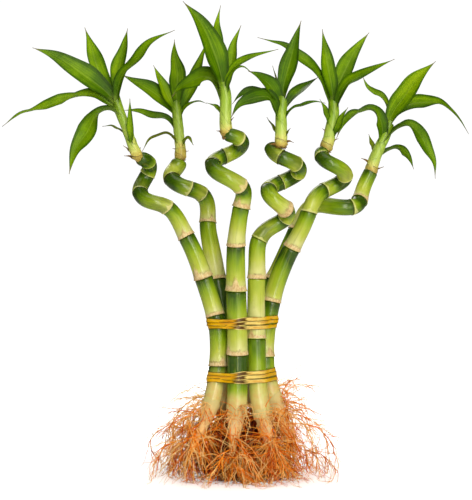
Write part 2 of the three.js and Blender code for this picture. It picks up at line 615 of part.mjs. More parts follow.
// A band drawn tight round the six canes: the cane that it touches at a bearing, and its inner point there.
function bandPoint(bearing, height) {
  const canes = TIE_LEVELS.flatMap((share) => canesAt(height + share * RIBBON.height));
  const outward = new THREE.Vector3(Math.cos(bearing), Math.sin(bearing), 0);
  const reach = ({ centre, radius }) => centre.dot(outward) + radius;
  const { name, centre, radius } = canes.reduce((a, b) => (reach(b) > reach(a) ? b : a));
  const point = centre.clone().addScaledVector(outward, radius + TIE_CLEARANCE).setZ(height);
  return { name, outward, point };
}

// The stations of the wound ribbon: even steps, and both sides of each place where it leaves a cane for the next.
function ribbonStations(middle) {
  const fine = Array.from({ length: RIBBON.turns * 360 + 1 }, (_, degrees) => {
    const height = middle + (degrees / 360 - RIBBON.turns / 2) * RIBBON.pitch;
    return bandPoint(TIE_BACK + THREE.MathUtils.degToRad(degrees), height);
  });
  return fine.filter(({ name }, degrees) => {
    const leaves = name !== fine[degrees + 1]?.name;
    const arrives = name !== fine[degrees - 1]?.name;
    return leaves || arrives || degrees % RIBBON.step === 0;
  });
}

function ribbonGeometry(middle) {
  const sections = ribbonStations(middle).map(({ outward, point }) => {
    return [[0, -1], [1, -1], [1, 1], [0, 1]].map(([out, rise]) => {
      return point
        .clone()
        .addScaledVector(outward, out * RIBBON.thickness)
        .addScaledVector(UP, (rise * RIBBON.height) / 2);
    });
  });
  return loft(sections);
}

// The ribbon's two ends, twisted together and bent down at the back.
function twistGeometry({ outward, point }) {
  const side = new THREE.Vector3().crossVectors(UP, outward);
  const start = point.clone().addScaledVector(outward, TWIST.root);
  return loft(
    Array.from({ length: TWIST.steps + 1 }, (_, i) => {
      const t = i / TWIST.steps;
      const turn = t * TWIST.turns * Math.PI;
      const centre = start.clone().addScaledVector(outward, TWIST.reach * t);
      centre.z -= TWIST.drop * t * t;
      return [[-1, -1], [1, -1], [1, 1], [-1, 1]].map(([a, b]) => {
        const x = (a * TWIST.width) / 2;
        const z = (b * TWIST.thickness) / 2;
        return centre
          .clone()
          .addScaledVector(side, x * Math.cos(turn) - z * Math.sin(turn))
          .addScaledVector(UP, x * Math.sin(turn) + z * Math.cos(turn));
      });
    }),
  );
}

// The bar of twisted ribbon that draws the turns together.
function knotGeometry({ outward, point }) {
  const side = new THREE.Vector3().crossVectors(UP, outward);
  const half = (RIBBON.turns * RIBBON.pitch) / 2 + KNOT.beyond;
  const sections = [-1, 1].map((end) => {
    return [[KNOT.from, -1], [KNOT.to, -1], [KNOT.to, 1], [KNOT.from, 1]].map(([out, across]) => {
      return point
        .clone()
        .addScaledVector(outward, out)
        .addScaledVector(side, (across * KNOT.width) / 2)
        .addScaledVector(UP, end * half);
    });
  });
  return loft(sections);
}

function tieGeometry(middle) {
  const knot = bandPoint(TIE_BACK, middle);
  return toGeometry(fuse([ribbonGeometry(middle), knotGeometry(knot), twistGeometry(knot)]));
}

// The part

const part = new THREE.Group();

function place(name, geometry, material) {
  const mesh = new THREE.Mesh(geometry, material);
  mesh.name = name;
  part.add(mesh);
}

for (const stalk of STALKS) {
  place(`roots_${stalk.name}`, rootsGeometry(stalk), materials.roots());
  place(`cane_${stalk.name}`, caneGeometry(stalk), materials.cane());
  place(`shoot_${stalk.name}`, shootGeometry(stalk), materials.shoot());
}
for (const [name, middle] of Object.entries(TIE_HEIGHTS)) {
  place(name, tieGeometry(middle), materials.tie());
}

export default part;
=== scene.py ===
"""Lucky bamboo: six rooted stalks with spiral tops and leafy shoots, tied upright by two gold ribbons.

Laid out as an add-on. Its sizes and colours are scene properties, each group of like pieces has an
operator, and a panel in the 3D view's sidebar lists them. Run as a script, it models all the pieces round
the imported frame.
"""

import math
from dataclasses import dataclass
from typing import NamedTuple

import bpy
import numpy as np
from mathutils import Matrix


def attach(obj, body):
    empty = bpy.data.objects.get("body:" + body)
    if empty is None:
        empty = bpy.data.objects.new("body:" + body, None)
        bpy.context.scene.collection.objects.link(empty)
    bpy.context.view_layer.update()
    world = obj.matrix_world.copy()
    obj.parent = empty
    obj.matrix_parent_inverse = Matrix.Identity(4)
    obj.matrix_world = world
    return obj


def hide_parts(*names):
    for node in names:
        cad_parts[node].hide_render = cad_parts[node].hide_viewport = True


bl_info = {
    "name": "Lucky Bamboo Bundle",
    "version": (1, 0, 0),
    "blender": (4, 5, 0),
    "location": "View3D > Sidebar > Lucky Bamboo",
    "description": "Models a tied bundle of rooted lucky bamboo round its packed frame",
    "category": "Add Mesh",
}

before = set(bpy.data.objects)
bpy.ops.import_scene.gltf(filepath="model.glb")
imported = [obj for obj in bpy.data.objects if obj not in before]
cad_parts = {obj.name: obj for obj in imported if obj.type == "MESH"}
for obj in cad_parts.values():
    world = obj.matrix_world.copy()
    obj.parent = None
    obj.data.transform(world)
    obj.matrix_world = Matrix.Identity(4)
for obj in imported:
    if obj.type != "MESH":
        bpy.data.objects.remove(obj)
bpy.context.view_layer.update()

MM = 0.001
FULL_TURN = 2 * math.pi

# added to a stalk's seed, so that each of its pieces has random draws of its own
SHOOT_SEED = 20
SHEATH_SEED = 40
ROOT_SEED = 60

FRONT = np.array([0.0, -1.0, 0.0])
BACK = np.array([0.0, 1.0, 0.0])
UP = np.array([0.0, 0.0, 1.0])


def colour(code):
    """A web colour as the linear values that shaders take."""
    shares = [int(code[i : i + 2], 16) / 255 for i in (1, 3, 5)]
    linear = [s / 12.92 if s <= 0.04045 else ((s + 0.055) / 1.055) ** 2.4 for s in shares]
    return (*linear, 1.0)


# Lines and routes

LINE_STEP = 3 * MM
LINE_EASING = 6
CURVE_STEPS = 10


def unit(vectors):
    return vectors / np.linalg.norm(vectors, axis=-1, keepdims=True)


def smooth_step(values, low, high):
    """0 at low, 1 at high, and smooth between them; low may be over high."""
    t = np.clip((values - low) / (high - low), 0, 1)
    return t * t * (3 - 2 * t)


def spread(values, share):
    """Values at a share of the way along a list that is spread evenly, or one value all along."""
    values = np.atleast_1d(np.array(values, float))
    return np.interp(share, np.linspace(0, 1, len(values)), values)


def smooth_line(points):
    """A centripetal Catmull-Rom line through points."""
    points = np.array(points, float)
    points = np.vstack([2 * points[0] - points[1], points, 2 * points[-1] - points[-2]])
    t = (np.arange(CURVE_STEPS) / CURVE_STEPS)[:, None]
    parts = []
    for a, b, c, d in zip(points, points[1:], points[2:], points[3:]):
        ab, bc, cd = (math.sqrt(np.linalg.norm(q - p)) for p, q in ((a, b), (b, c), (c, d)))
        leave = ((b - a) / ab - (c - a) / (ab + bc) + (c - b) / bc) * bc
        arrive = ((c - b) / bc - (d - b) / (bc + cd) + (d - c) / cd) * bc
        parts.append(
            b * (2 * t**3 - 3 * t**2 + 1)
            + leave * (t**3 - 2 * t**2 + t)
            + c * (3 * t**2 - 2 * t**3)
            + arrive * (t**3 - t**2)
        )
    return np.vstack([*parts, points[-2]])


def reach_along(line):
    """How far along a line each of its points lies."""
    steps = np.linalg.norm(np.diff(line, axis=0), axis=1)
    return np.concatenate([[0], np.cumsum(steps)])


def pick(places, reach, values):
    """Vectors at places along a line, from those at its points."""
    return np.column_stack([np.interp(places, reach, values[:, k]) for k in range(3)])


def worn(line, times):
    """A line whose corners are worn down a number of times."""
    for _ in range(times):
        line[1:-1] = (line[:-2] + 2 * line[1:-1] + line[2:]) / 4
    return line


def eased_line(points):
    """A stalk bends in even rounds, so the line through its points is eased."""
    rough = smooth_line(points)
    reach = reach_along(rough)
    even = np.linspace(0, reach[-1], round(reach[-1] / LINE_STEP) + 1)
    return smooth_line(worn(pick(even, reach, rough), LINE_EASING))


def trimmed(line, start):
    """The part of a line after a place on it."""
    reach = reach_along(line)
    return pick(np.linspace(start, reach[-1], len(line)), reach, line)


def square_to(tangents, directions):
    """Directions turned square to tangents."""
    return unit(directions - tangents * np.sum(directions * tangents, axis=-1, keepdims=True))


def carried(tangents, start):
    """Directions across a line that turn with it and don't twist."""
    across = []
    for tangent in tangents:
        start = square_to(tangent, start)
        across.append(start)
    return np.array(across)


class Route:
    """A line with a direction across it at each point, onto which straight shapes are laid.

    lifts gives the direction in which the upper face of a flat shape looks, at each point. Without it, the
    direction across the line is carried along it from start.
    """

    def __init__(self, line, lifts=None, start=BACK):
        self.line = line
        self.reach = reach_along(line)
        self.length = self.reach[-1]
        self.tangent = unit(np.gradient(line, self.reach, axis=0))
        self.across = carried(self.tangent, start) if lifts is None else np.cross(lifts(self), self.tangent)

    def at(self, places):
        """The centre, tangent, direction across and direction upwards at places along the route."""
        inside = np.clip(places, 0, self.length)
        tangent = unit(pick(inside, self.reach, self.tangent))
        across = square_to(tangent, pick(inside, self.reach, self.across))
        centre = pick(inside, self.reach, self.line) + tangent * (places - inside)[:, None]
        return centre, tangent, across, np.cross(tangent, across)

    def lay(self, shape):
        """Points of a straight shape, whose Z runs along the route, in their places on it."""
        centre, _, across, lift = self.at(shape[:, 2])
        return centre + across * shape[:, :1] + lift * shape[:, 1:2]

    def nearest(self, point):
        """The place on the route that is nearest to a point."""
        return self.reach[np.argmin(np.linalg.norm(self.line - point, axis=1))]

    def bearing(self, place, point):
        """The angle round the route, at a place on it, at which a point lies."""
        centre, _, across, lift = self.at(np.array([place]))
        away = point - centre[0]
        return math.atan2(away @ lift[0], away @ across[0])


# Stalks


class Leaf(NamedTuple):
    """A leaf's breadth, roll in degrees, midrib and a tone that lightens or darkens it, which on some leaves
    is painted light.

    A roll of 0 turns its upper face to the front and 90 turns it up; several rolls spread along the leaf.
    """

    breadth: float
    roll: float | list
    midrib: list
    tone: float = 0


class Ring(NamedTuple):
    """A ring's place on its stalk's line, its bud's bearing, its band and the tone of the joint over it.

    The band is a share of the full height of a papery band, and a higher tone is paler. On a few joints the
    tone is painted shade, and on one a painted highlight. The bearing is in degrees: 90 faces left and 180
    faces the front, on a straight cane.
    """

    place: float
    bearing: float
    band: float
    tone: float


class Stub(NamedTuple):
    """A dry stub's start, along its shoot's stem, and its curled tip."""

    start: float
    tip: list


@dataclass
class Stalk:
    """One plant of the bundle: a cane, its leafy shoot and its roots, given in millimetres."""

    name: str
    # the centre line, from inside the roots to the cut top, and the cane's radii, evenly spread
    line: list
    radii: list
    # where the cane starts on that line
    foot: float
    rings: list
    # the centre line of the shoot's stem, and its radii at its foot and top
    stem: list
    stem_radii: list
    leaves: list
    stubs: list
    # how pale the cane's foot is, and how high that reaches, as a share of the usual height
    foot_tone: float = 0.1
    pale_foot: float = 1
    # how far the cut top lies under the end of the line, and how rounded it is
    cut: float = 0
    top_rounding: float = 4.5
    # how free of roots the front of the crown is
    bare_crown: float = 0.85
    # where the stem starts on its line, and how far up its foot narrows downwards
    stem_start: float = 0
    foot_taper: float = 1.2
    # how light the leaves are
    leaf_tone: float = 0

    def __post_init__(self):
        """Lays out the routes, and turns the places on them into metres."""
        self.seed = int(self.name)
        self.route = Route(eased_line(np.array(self.line) * MM))
        self.stem_route = Route(trimmed(smooth_line(np.array(self.stem) * MM), self.stem_start * MM))
        self.foot *= MM
        self.top = self.route.length - self.cut * MM
        self.top_rounding *= MM
        self.foot_taper *= MM
        places, bearings, self.bands, self.tones = np.array(self.rings, float).T
        self.ring_places = places * MM
        self.buds = np.radians(bearings)

    def cane_radius(self, places):
        share = (places - self.foot) / (self.route.length - self.foot)
        return spread(self.radii, np.clip(share, 0, 1)) * MM


STALKS = [
    Stalk(
        name="1",
        line=[
            [-31, -27, 33], [-25, -22, 46], [-19.5, -15, 61], [-16, -10, 75], [-14, -8, 93],
            [-14.5, -8, 122], [-19, -8, 139], [-25, -9, 158], [-33, -9, 180], [-41, -9, 196],
            [-47.5, -11, 209], [-53.5, -15, 216], [-63, -19, 219], [-72.5, -16, 221.5], [-77, -7, 229],
            [-74.5, 2, 236.5], [-70, 3, 244], [-68, -4, 250], [-72, -12, 254], [-77, -16, 254.5],
        ],
        radii=[7, 7.2, 7.2, 6.9, 6.1, 6, 5.8],
        foot=31,
        pale_foot=1.5,
        bare_crown=0.5,
        rings=[
            Ring(63, 205, 1, 0), Ring(103, 40, 0.8, 0.05), Ring(135, 140, 1.2, 0),
            Ring(170, 170, 0.8, 0.1), Ring(199, 190, 0.45, -0.12), Ring(228, 60, 0.3, -0.17),
            Ring(249, 200, 0.35, -0.22), Ring(262, 150, 0.25, -0.47),
        ],
        stem=[
            [-75, -14, 252], [-80, -19, 261], [-83, -20, 270], [-87, -21, 280], [-91, -21, 290],
            [-94, -21, 300],
        ],
        stem_radii=[3.7, 2.9],
        foot_taper=7,
        leaf_tone=0.05,
        leaves=[
            Leaf(18, 25, [
                [-93, -21, 296], [-103, -24, 307], [-120, -30, 319], [-138, -34, 331], [-157, -38, 338],
            ]),
            Leaf(13.5, 20, [
                [-95, -21, 300], [-103, -17, 313], [-110, -12, 328], [-115, -6, 343], [-121, 0, 360],
            ]),
            Leaf(13, 30, [
                [-95, -21, 300], [-94, -16, 314], [-92, -10, 329], [-89, -3, 345], [-87, 4, 360],
            ], tone=-0.1),
            Leaf(12, [25, 30, 55, 35, 40, 60], [
                [-93, -21, 295], [-92, -27, 308], [-87, -32, 319], [-76, -36, 330], [-66, -38, 342],
                [-47, -42, 351],
            ], tone=-0.18),
            # these two low leaves are paler as painted light, where they catch the light from the front
            Leaf(13, [20, 25, 40, 70, 35, 40, 75, 45, 50], [
                [-92, -21, 292], [-101, -24, 298], [-110, -27, 303], [-120, -30, 302], [-135, -32, 298],
                [-148, -34, 293], [-157, -35, 290], [-167, -37, 287], [-180, -40, 277],
            ], tone=0.16),
            Leaf(17, [65, 72, 60, 25, 8, 12, 25], [
                [-91, -21, 287], [-97, -27, 291], [-103, -33, 290], [-109, -38, 284], [-114, -42, 273],
                [-123, -44, 259], [-128, -44, 240],
            ], tone=0.2),
            Leaf(2.4, 45, [[-86, -21, 272], [-92, -18, 277], [-98, -14, 280], [-106, -10, 280]]),
            Leaf(5.6, 15, [[-82, -21, 263], [-82, -28, 275], [-82, -33, 287], [-82, -36, 299]]),
        ],
        stubs=[Stub(4, [-88, -20, 256]), Stub(9, [-88.5, -21, 264]), Stub(7, [-75, -17, 263])],
    ),
    Stalk(
        name="2",
        line=[
            [-14, 24, 26], [-12, 20, 40], [-9.5, 15, 60], [-8, 12.5, 78], [-8, 12, 123],
            [-11.5, 15, 141], [-15.5, 19, 157], [-20, 26, 182], [-23.5, 31, 202], [-23, 32, 217],
            [-25.5, 30, 226.5], [-33.5, 24, 231], [-44, 20, 233.5], [-52, 24, 238.5], [-54, 34, 245.5],
            [-48, 38, 250.5], [-46, 38, 257],
        ],
        radii=[7.5, 7.6, 7.7, 7.6, 6.6, 6.4, 6.7],
        foot=36,
        rings=[
            # over the first ring the joint is darker as painted shade, as it lies behind the other canes,
            # and over the second it is paler, partly as a painted highlight
            Ring(86, 180, 1, -0.5), Ring(134, 20, 0.9, 0.2), Ring(184, 215, 0.8, 0.1),
            Ring(209, 180, 0.3, 0.08), Ring(222, 170, 0.3, -0.32), Ring(240, 30, 0.3, 0.18),
        ],
        stem=[
            [-47, 38, 251], [-46, 38, 265], [-47, 38, 275], [-48, 37, 286], [-49, 36, 296],
            [-50, 36, 306],
        ],
        stem_radii=[3.9, 3.2],
        stem_start=5,
        leaves=[
            Leaf(13.5, 10, [
                [-49, 36, 300], [-49, 32, 312], [-48, 26, 326], [-50, 20, 339], [-50, 16, 353],
            ]),
            Leaf(9.6, 25, [
                [-50, 35, 297], [-56, 31, 308], [-60, 29, 317], [-64, 29, 326], [-68, 30, 334],
            ], tone=0.14),
            Leaf(16, 35, [
                [-50, 37, 293], [-57, 34, 303], [-67, 31, 311], [-79, 28, 318], [-94, 26, 326],
            ]),
            Leaf(12.5, 30, [
                [-48, 37, 291], [-43, 42, 304], [-37, 46, 317], [-32, 49, 333], [-24, 50, 358],
            ]),
            Leaf(6.4, [40, 60, 65, 70, 70], [
                [-47, 37, 288], [-43, 34, 298], [-36, 30, 303], [-30, 27, 304], [-24, 24, 302],
            ]),
            Leaf(9.6, [40, 60, 60, 35, 30, 60], [
                [-48, 38, 275], [-53, 40, 286], [-59, 42, 292], [-70, 44, 294], [-81, 46, 298],
                [-95, 48, 299],
            ]),
            Leaf(4.6, [50, 60, 60, 40, 30], [
                [-47, 38, 265], [-51, 34, 274], [-57, 31, 278], [-64, 29, 276], [-71, 28, 273],
                [-77, 28, 263],
            ]),
            Leaf(4.8, [40, 50, 20], [[-46, 38, 265], [-43, 34, 272], [-39, 31, 274], [-35, 28, 268]]),
        ],
        stubs=[Stub(9, [-52.5, 36, 266]), Stub(7, [-39, 35, 264])],
    ),
    Stalk(
        name="3",
        line=[
            [-3, -26, 22], [-2, -23, 33], [0, -21, 49], [1, -19, 64], [1, -18, 88], [1, -18, 125],
            [0, -20, 151], [0, -25, 186], [2, -28, 204], [4.5, -30, 218], [7, -34, 227],
            [1, -42, 233.5], [-9, -44, 238.5], [-17, -38, 243.5], [-18, -28, 250.5], [-11, -21, 255],
            [-1, -20, 259], [5.5, -28, 264.5], [3, -37, 268.5], [-4.5, -41, 270.5], [-9, -40, 271.5],
        ],
        radii=[8, 8, 8, 7.5, 6.5, 6.2, 6, 5.5],
        foot=35,
        foot_tone=-0.15,
        pale_foot=0.8,
        rings=[
            Ring(79, 120, 1, 0.05), Ring(129, 178, 1.4, 0), Ring(165, 20, 0.8, 0.2),
            Ring(195, 155, 1.5, -0.1), Ring(215, 215, 0.6, -0.2), Ring(249, 200, 0.3, -0.12),
            Ring(264, 190, 0.25, -0.18), Ring(293, 180, 0.35, -0.32),
        ],
        stem=[[-7, -40, 268], [-8, -41, 280], [-8, -41, 291], [-8, -41, 301], [-10, -41, 311]],
        stem_radii=[4.2, 3.5],
        foot_taper=6,
        leaves=[
            Leaf(18, 20, [
                [-10, -41, 304], [-12, -44, 318], [-18, -50, 336], [-26, -57, 353], [-40, -64, 369],
            ]),
            Leaf(9.5, 25, [
                [-10, -41, 306], [-12, -36, 326], [-14, -30, 344], [-15, -25, 358], [-12, -20, 374],
            ]),
            Leaf(9.5, 25, [
                [-9, -41, 305], [-6, -33, 318], [-3, -25, 332], [-1, -17, 346], [4, -10, 360],
            ]),
            Leaf(8.4, [30, 35, 40, 45, 55, 60], [
                [-9, -41, 302], [-6, -44, 314], [0, -47, 323], [9, -50, 328], [20, -53, 331],
                [32, -57, 334],
            ]),
            Leaf(6.6, [30, 45, 60, 65, 60], [
                [-8, -41, 299], [-5, -48, 310], [-1, -55, 318], [5, -61, 320], [12, -66, 315],
            ]),
            Leaf(15.5, [75, 78, 50, 14, 8, 15, 30], [
                [-10, -41, 291], [-15, -37, 306], [-19, -33, 314], [-26, -29, 317], [-37, -24, 313],
                [-45, -19, 309], [-51, -14, 302],
            ]),
            Leaf(6, 60, [[-9, -41, 283], [-15, -35, 292], [-19, -30, 295], [-23, -25, 297]]),
        ],
        stubs=[Stub(4, [-15, -43, 273.5]), Stub(10, [-1.5, -43, 284])],
    ),
    Stalk(
        name="4",
        line=[
            [29, -25, 20], [25, -20, 33], [22, -16, 48], [18, -12, 66.5], [16.5, -10, 87],
            [16, -10, 125], [16, -12, 150.5], [16.5, -15, 172.5], [17, -17, 188.5], [21.5, -17, 196],
            [31, -12, 202], [39.5, -13, 206.5], [40.5, -23, 212.5], [33.5, -33, 217.5],
            [26.5, -32, 223], [25, -21, 230], [32.5, -12, 234], [43.5, -10, 239], [50.5, -19, 244],
            [46.5, -30, 249.5], [37, -34, 253], [29.5, -30, 256.5], [27.5, -24, 262.5],
        ],
        radii=[7.7, 7.4, 7.1, 6.8, 6.3, 6.2, 6, 5.7],
        foot=35,
        pale_foot=1.5,
        bare_crown=0.65,
        top_rounding=0.6,
        rings=[
            Ring(95, 150, 1, 0.42), Ring(143, 265, 1.1, 0.14), Ring(174, 190, 0.3, 0),
            Ring(202, 175, 0.25, -0.02), Ring(216, 200, 1.3, -0.08), Ring(245, 185, 0.3, -0.22),
            Ring(261, 150, 0.25, -0.37), Ring(278, 200, 0.3, -0.12), Ring(292, 180, 0.3, -0.12),
            Ring(306, 180, 0.25, -0.2),
        ],
        stem=[[35, -33, 253], [35, -32, 266], [35, -32, 277], [35, -32, 288], [36, -32, 298]],
        stem_radii=[4.1, 3.5],
        stem_start=8,
        leaf_tone=-0.14,
        leaves=[
            Leaf(13.5, 15, [
                [36, -32, 297], [37, -35, 310], [41, -38, 325], [45, -41, 340], [50, -43, 358],
            ]),
            Leaf(13.5, 30, [
                [36, -32, 294], [31, -36, 302], [25, -40, 310], [18, -44, 315], [9, -47, 319],
            ]),
            Leaf(3.6, 50, [[35, -32, 298], [33, -24, 309], [31, -16, 319], [29, -10, 328]]),
            Leaf(5, [40, 50, 60, 60, 40, 50, 60], [
                [36, -32, 280], [41, -36, 289], [45, -38, 292], [50, -40, 293], [55, -41, 295],
                [62, -41, 296], [69, -40, 295],
            ]),
            Leaf(10.8, 40, [
                [37, -32, 289], [43, -23, 300], [51, -12, 309], [58, 0, 315], [67, 10, 322],
            ]),
            Leaf(9.5, [45, 55, 60, 50, 35, 30, 40], [
                [34, -32, 290], [30, -30, 300], [24, -29, 304], [16, -30, 305], [8, -31, 305],
                [2, -32, 301], [-3, -33, 295],
            ]),
            Leaf(13.5, [40, 45, 45, 35, 20, 20, 30], [
                [34, -32, 280], [30, -38, 292], [25, -43, 299], [17, -47, 299], [8, -50, 296],
                [2, -52, 292], [-4, -54, 282],
            ]),
            Leaf(3, 40, [[34, -32, 269], [30, -29, 276], [27, -26, 281], [24, -23, 286]]),
            Leaf(3, 40, [[36, -32, 266], [39, -35, 272], [42, -38, 276]]),
        ],
        stubs=[Stub(4, [44.5, -36, 265]), Stub(2, [25, -36, 264])],
    ),
    Stalk(
        name="5",
        line=[
            [42, 3, 30], [37, 4, 45.5], [31, 5, 61.5], [25, 6, 79], [23.5, 6.5, 100], [25.5, 6.5, 124],
            [31.5, 6, 151.5], [38.5, 5, 170.5], [45.5, 3, 185], [53, 1, 199], [58.5, -1, 212.5],
            [63, 1, 223.5], [70, 8, 229.5], [80, 14, 234], [88, 8, 239], [86, -4, 245],
            [77, -11, 249.5], [69, -8, 253.5], [68, 0, 260.5], [72, 4, 265.5],
        ],
        radii=[7.1, 7.2, 7.3, 7.2, 6.5, 6.3, 6, 5.6],
        foot=35,
        cut=5,
        rings=[
            Ring(69, 210, 1, 0), Ring(114, 330, 0.9, -0.1), Ring(160, 30, 1.1, 0.2),
            Ring(192, 175, 0.35, 0.05), Ring(216, 190, 0.3, -0.22), Ring(243, 160, 0.3, -0.12),
            Ring(275, 200, 0.3, -0.47),
        ],
        stem=[[71, 3, 261], [74, 2, 270], [76, 0, 280], [78, 0, 290], [78, 0, 300]],
        stem_radii=[4.4, 3.5],
        leaves=[
            Leaf(12.5, 15, [
                [78, 0, 299], [76, -4, 313], [73, -9, 326], [70, -13, 342], [68, -16, 356],
            ]),
            Leaf(15, 25, [[78, 0, 299], [82, 5, 314], [89, 11, 329], [97, 17, 344], [109, 24, 360]]),
            Leaf(11.5, [40, 50, 60, 50, 30, 30, 40, 60], [
                [77, 0, 292], [72, -4, 306], [66, -10, 319], [59, -11, 328], [49, -11, 336],
                [38, -11, 344], [28, -12, 347], [17, -13, 350],
            ], tone=-0.12),
            Leaf(11, [35, 40, 45, 40, 35, 50], [
                [79, 0, 292], [82, -7, 304], [88, -14, 314], [96, -20, 318], [107, -26, 323],
                [123, -33, 330],
            ]),
            Leaf(5.8, 25, [[77, 0, 272], [81, -7, 280], [84, -13, 288], [88, -19, 294]]),
            Leaf(6.2, 35, [[76, 0, 280], [72, -6, 289], [70, -11, 294], [66, -16, 301]]),
        ],
        stubs=[Stub(15, [69, -2, 279]), Stub(8, [82, -1, 271])],
    ),
    Stalk(
        name="6",
        line=[
            [20, 35, 24], [18, 30, 39], [16, 24, 59], [14.5, 19.5, 78], [15.5, 20, 117],
            [22.5, 23, 141], [35.5, 30, 167], [45.5, 36, 188], [54.5, 40, 206.5], [58.5, 40, 215],
            [65.5, 36, 220], [77, 27, 218], [89, 22, 216.5], [98.5, 26, 217.5], [102.5, 34, 223.5],
            [105, 37, 233], [109.5, 38, 242.5], [112, 38, 247.5],
        ],
        radii=[7, 6.9, 6.8, 6.9, 6.6, 5.8],
        foot=37,
        bare_crown=0.5,
        top_rounding=1,
        rings=[
            Ring(88, 0, 1, 0), Ring(138, 180, 1, 0), Ring(186, 20, 0.8, 0.14),
            Ring(246, 190, 0.3, -0.42), Ring(259, 170, 0.9, 0.05),
        ],
        stem=[[111, 38, 244], [114, 38, 255], [118, 38, 265], [123, 38, 275], [127, 38, 286]],
        stem_radii=[4.5, 3.3],
        leaf_tone=0.06,
        leaves=[
            Leaf(13.5, [15, 15, 20, 60, 82, 40, 20, 20], [
                [119, 38, 267], [121, 34, 280], [118, 30, 291], [111, 27, 297], [102, 25, 295],
                [94, 23, 292], [87, 22, 285], [82, 21, 273],
            ], tone=-0.08),
            Leaf(9, [60, 70, 75, 60, 20, 5, 10], [
                [124, 38, 278], [127, 44, 292], [126, 49, 303], [122, 53, 311], [116, 57, 316],
                [111, 60, 321], [107, 63, 330],
            ]),
            Leaf(18, 25, [
                [126, 38, 285], [130, 34, 296], [139, 28, 309], [148, 21, 322], [162, 14, 335],
            ]),
            Leaf(14, [30, 35, 30, 30, 55, 65, 65, 65], [
                [126, 38, 283], [134, 44, 296], [146, 49, 304], [159, 53, 306], [171, 56, 306],
                [181, 58, 300], [189, 59, 292], [197, 60, 280],
            ]),
            Leaf(13.5, [70, 75, 78, 50, 15, 12, 30, 40], [
                [121, 38, 268], [128, 33, 278], [135, 29, 283], [142, 26, 284], [150, 23, 277],
                [156, 20, 264], [161, 18, 253], [162, 17, 240],
            ], tone=-0.14),
            Leaf(10, [70, 78, 75, 25, 20, 40], [
                [118, 38, 259], [127, 43, 265], [134, 48, 267], [141, 52, 264], [146, 55, 259],
                [150, 57, 250],
            ]),
            Leaf(4.8, 30, [[115, 38, 261], [114, 42, 266], [113, 45, 271], [111, 48, 279]]),
        ],
        stubs=[Stub(9, [103.5, 36, 258]), Stub(5, [122.5, 36, 251])],
    ),
]


# Templates made by hand tools, and pieces made of their copies

WELD = 0.001 * MM


def pick_only(piece):
    bpy.ops.object.select_all(action="DESELECT")
    piece.select_set(True)
    bpy.context.view_layer.objects.active = piece


def shape_of(piece):
    """The points and faces of a template, which is then removed."""
    mesh = piece.data
    points = np.zeros(len(mesh.vertices) * 3)
    mesh.vertices.foreach_get("co", points)
    faces = [tuple(face.vertices) for face in mesh.polygons]
    bpy.data.objects.remove(piece)
    bpy.data.meshes.remove(mesh)
    return points.reshape(-1, 3), faces


def strip_template(columns, rows):
    """A closed strip: X from -1 to 1 across it, Y from 0 on its upper face to -1, Z from 0 to 1 along it."""
    bpy.ops.object.select_all(action="DESELECT")
    bpy.ops.mesh.primitive_grid_add(
        x_subdivisions=columns, y_subdivisions=rows, size=2, rotation=(-math.pi / 2, 0, 0)
    )
    strip = bpy.context.object
    bpy.ops.object.transform_apply(location=True, rotation=True, scale=True)
    wall = strip.modifiers.new("Wall", "SOLIDIFY")
    wall.thickness = 1
    wall.offset = -1
    bpy.ops.object.modifier_apply(modifier=wall.name)
    points, faces = shape_of(strip)
    points[:, 2] = (points[:, 2] + 1) / 2
    points[:, 1] = np.where(points[:, 1] > -0.5, 0.0, -1.0)
    return points, faces


def rod_template(sides, rows):
    """A closed round rod of radius 1, with Z from 0 to 1 along it in even rows."""
    bpy.ops.object.select_all(action="DESELECT")
    bpy.ops.mesh.primitive_cylinder_add(vertices=sides, radius=1, depth=1, location=(0, 0, 0.5))
    rod = bpy.context.object
    bpy.ops.object.transform_apply(location=True, rotation=True, scale=True)
    bpy.context.tool_settings.mesh_select_mode = (False, True, False)
    bpy.ops.object.mode_set(mode="EDIT")
    bpy.ops.mesh.select_all(action="DESELECT")
    bpy.ops.object.mode_set(mode="OBJECT")
    points = rod.data.vertices
    for edge in rod.data.edges:
        low, high = (points[i].co.z for i in edge.vertices)
        edge.select = abs(high - low) > 0.5
    bpy.ops.object.mode_set(mode="EDIT")
    bpy.ops.mesh.subdivide(number_cuts=rows - 1)
    bpy.ops.object.mode_set(mode="OBJECT")
    return shape_of(rod)


def turned_template(profile, sides):
    """A closed shape turned on a lathe, from a profile of radii and heights. Its ends are on the axis."""
    bpy.ops.object.select_all(action="DESELECT")
    mesh = bpy.data.meshes.new("profile")
    mesh.from_pydata([(r, 0, z) for r, z in profile], [(i, i + 1) for i in range(len(profile) - 1)], [])
    turned = bpy.data.objects.new("profile", mesh)
    bpy.context.scene.collection.objects.link(turned)
    pick_only(turned)
    bpy.ops.object.mode_set(mode="EDIT")
    bpy.ops.mesh.select_all(action="SELECT")
    bpy.ops.mesh.spin(steps=sides, angle=FULL_TURN, center=(0, 0, 0), axis=(0, 0, 1))
    bpy.ops.mesh.select_all(action="SELECT")
    bpy.ops.mesh.remove_doubles(threshold=WELD)
    bpy.ops.mesh.normals_make_consistent(inside=False)
    bpy.ops.object.mode_set(mode="OBJECT")
    return shape_of(turned)


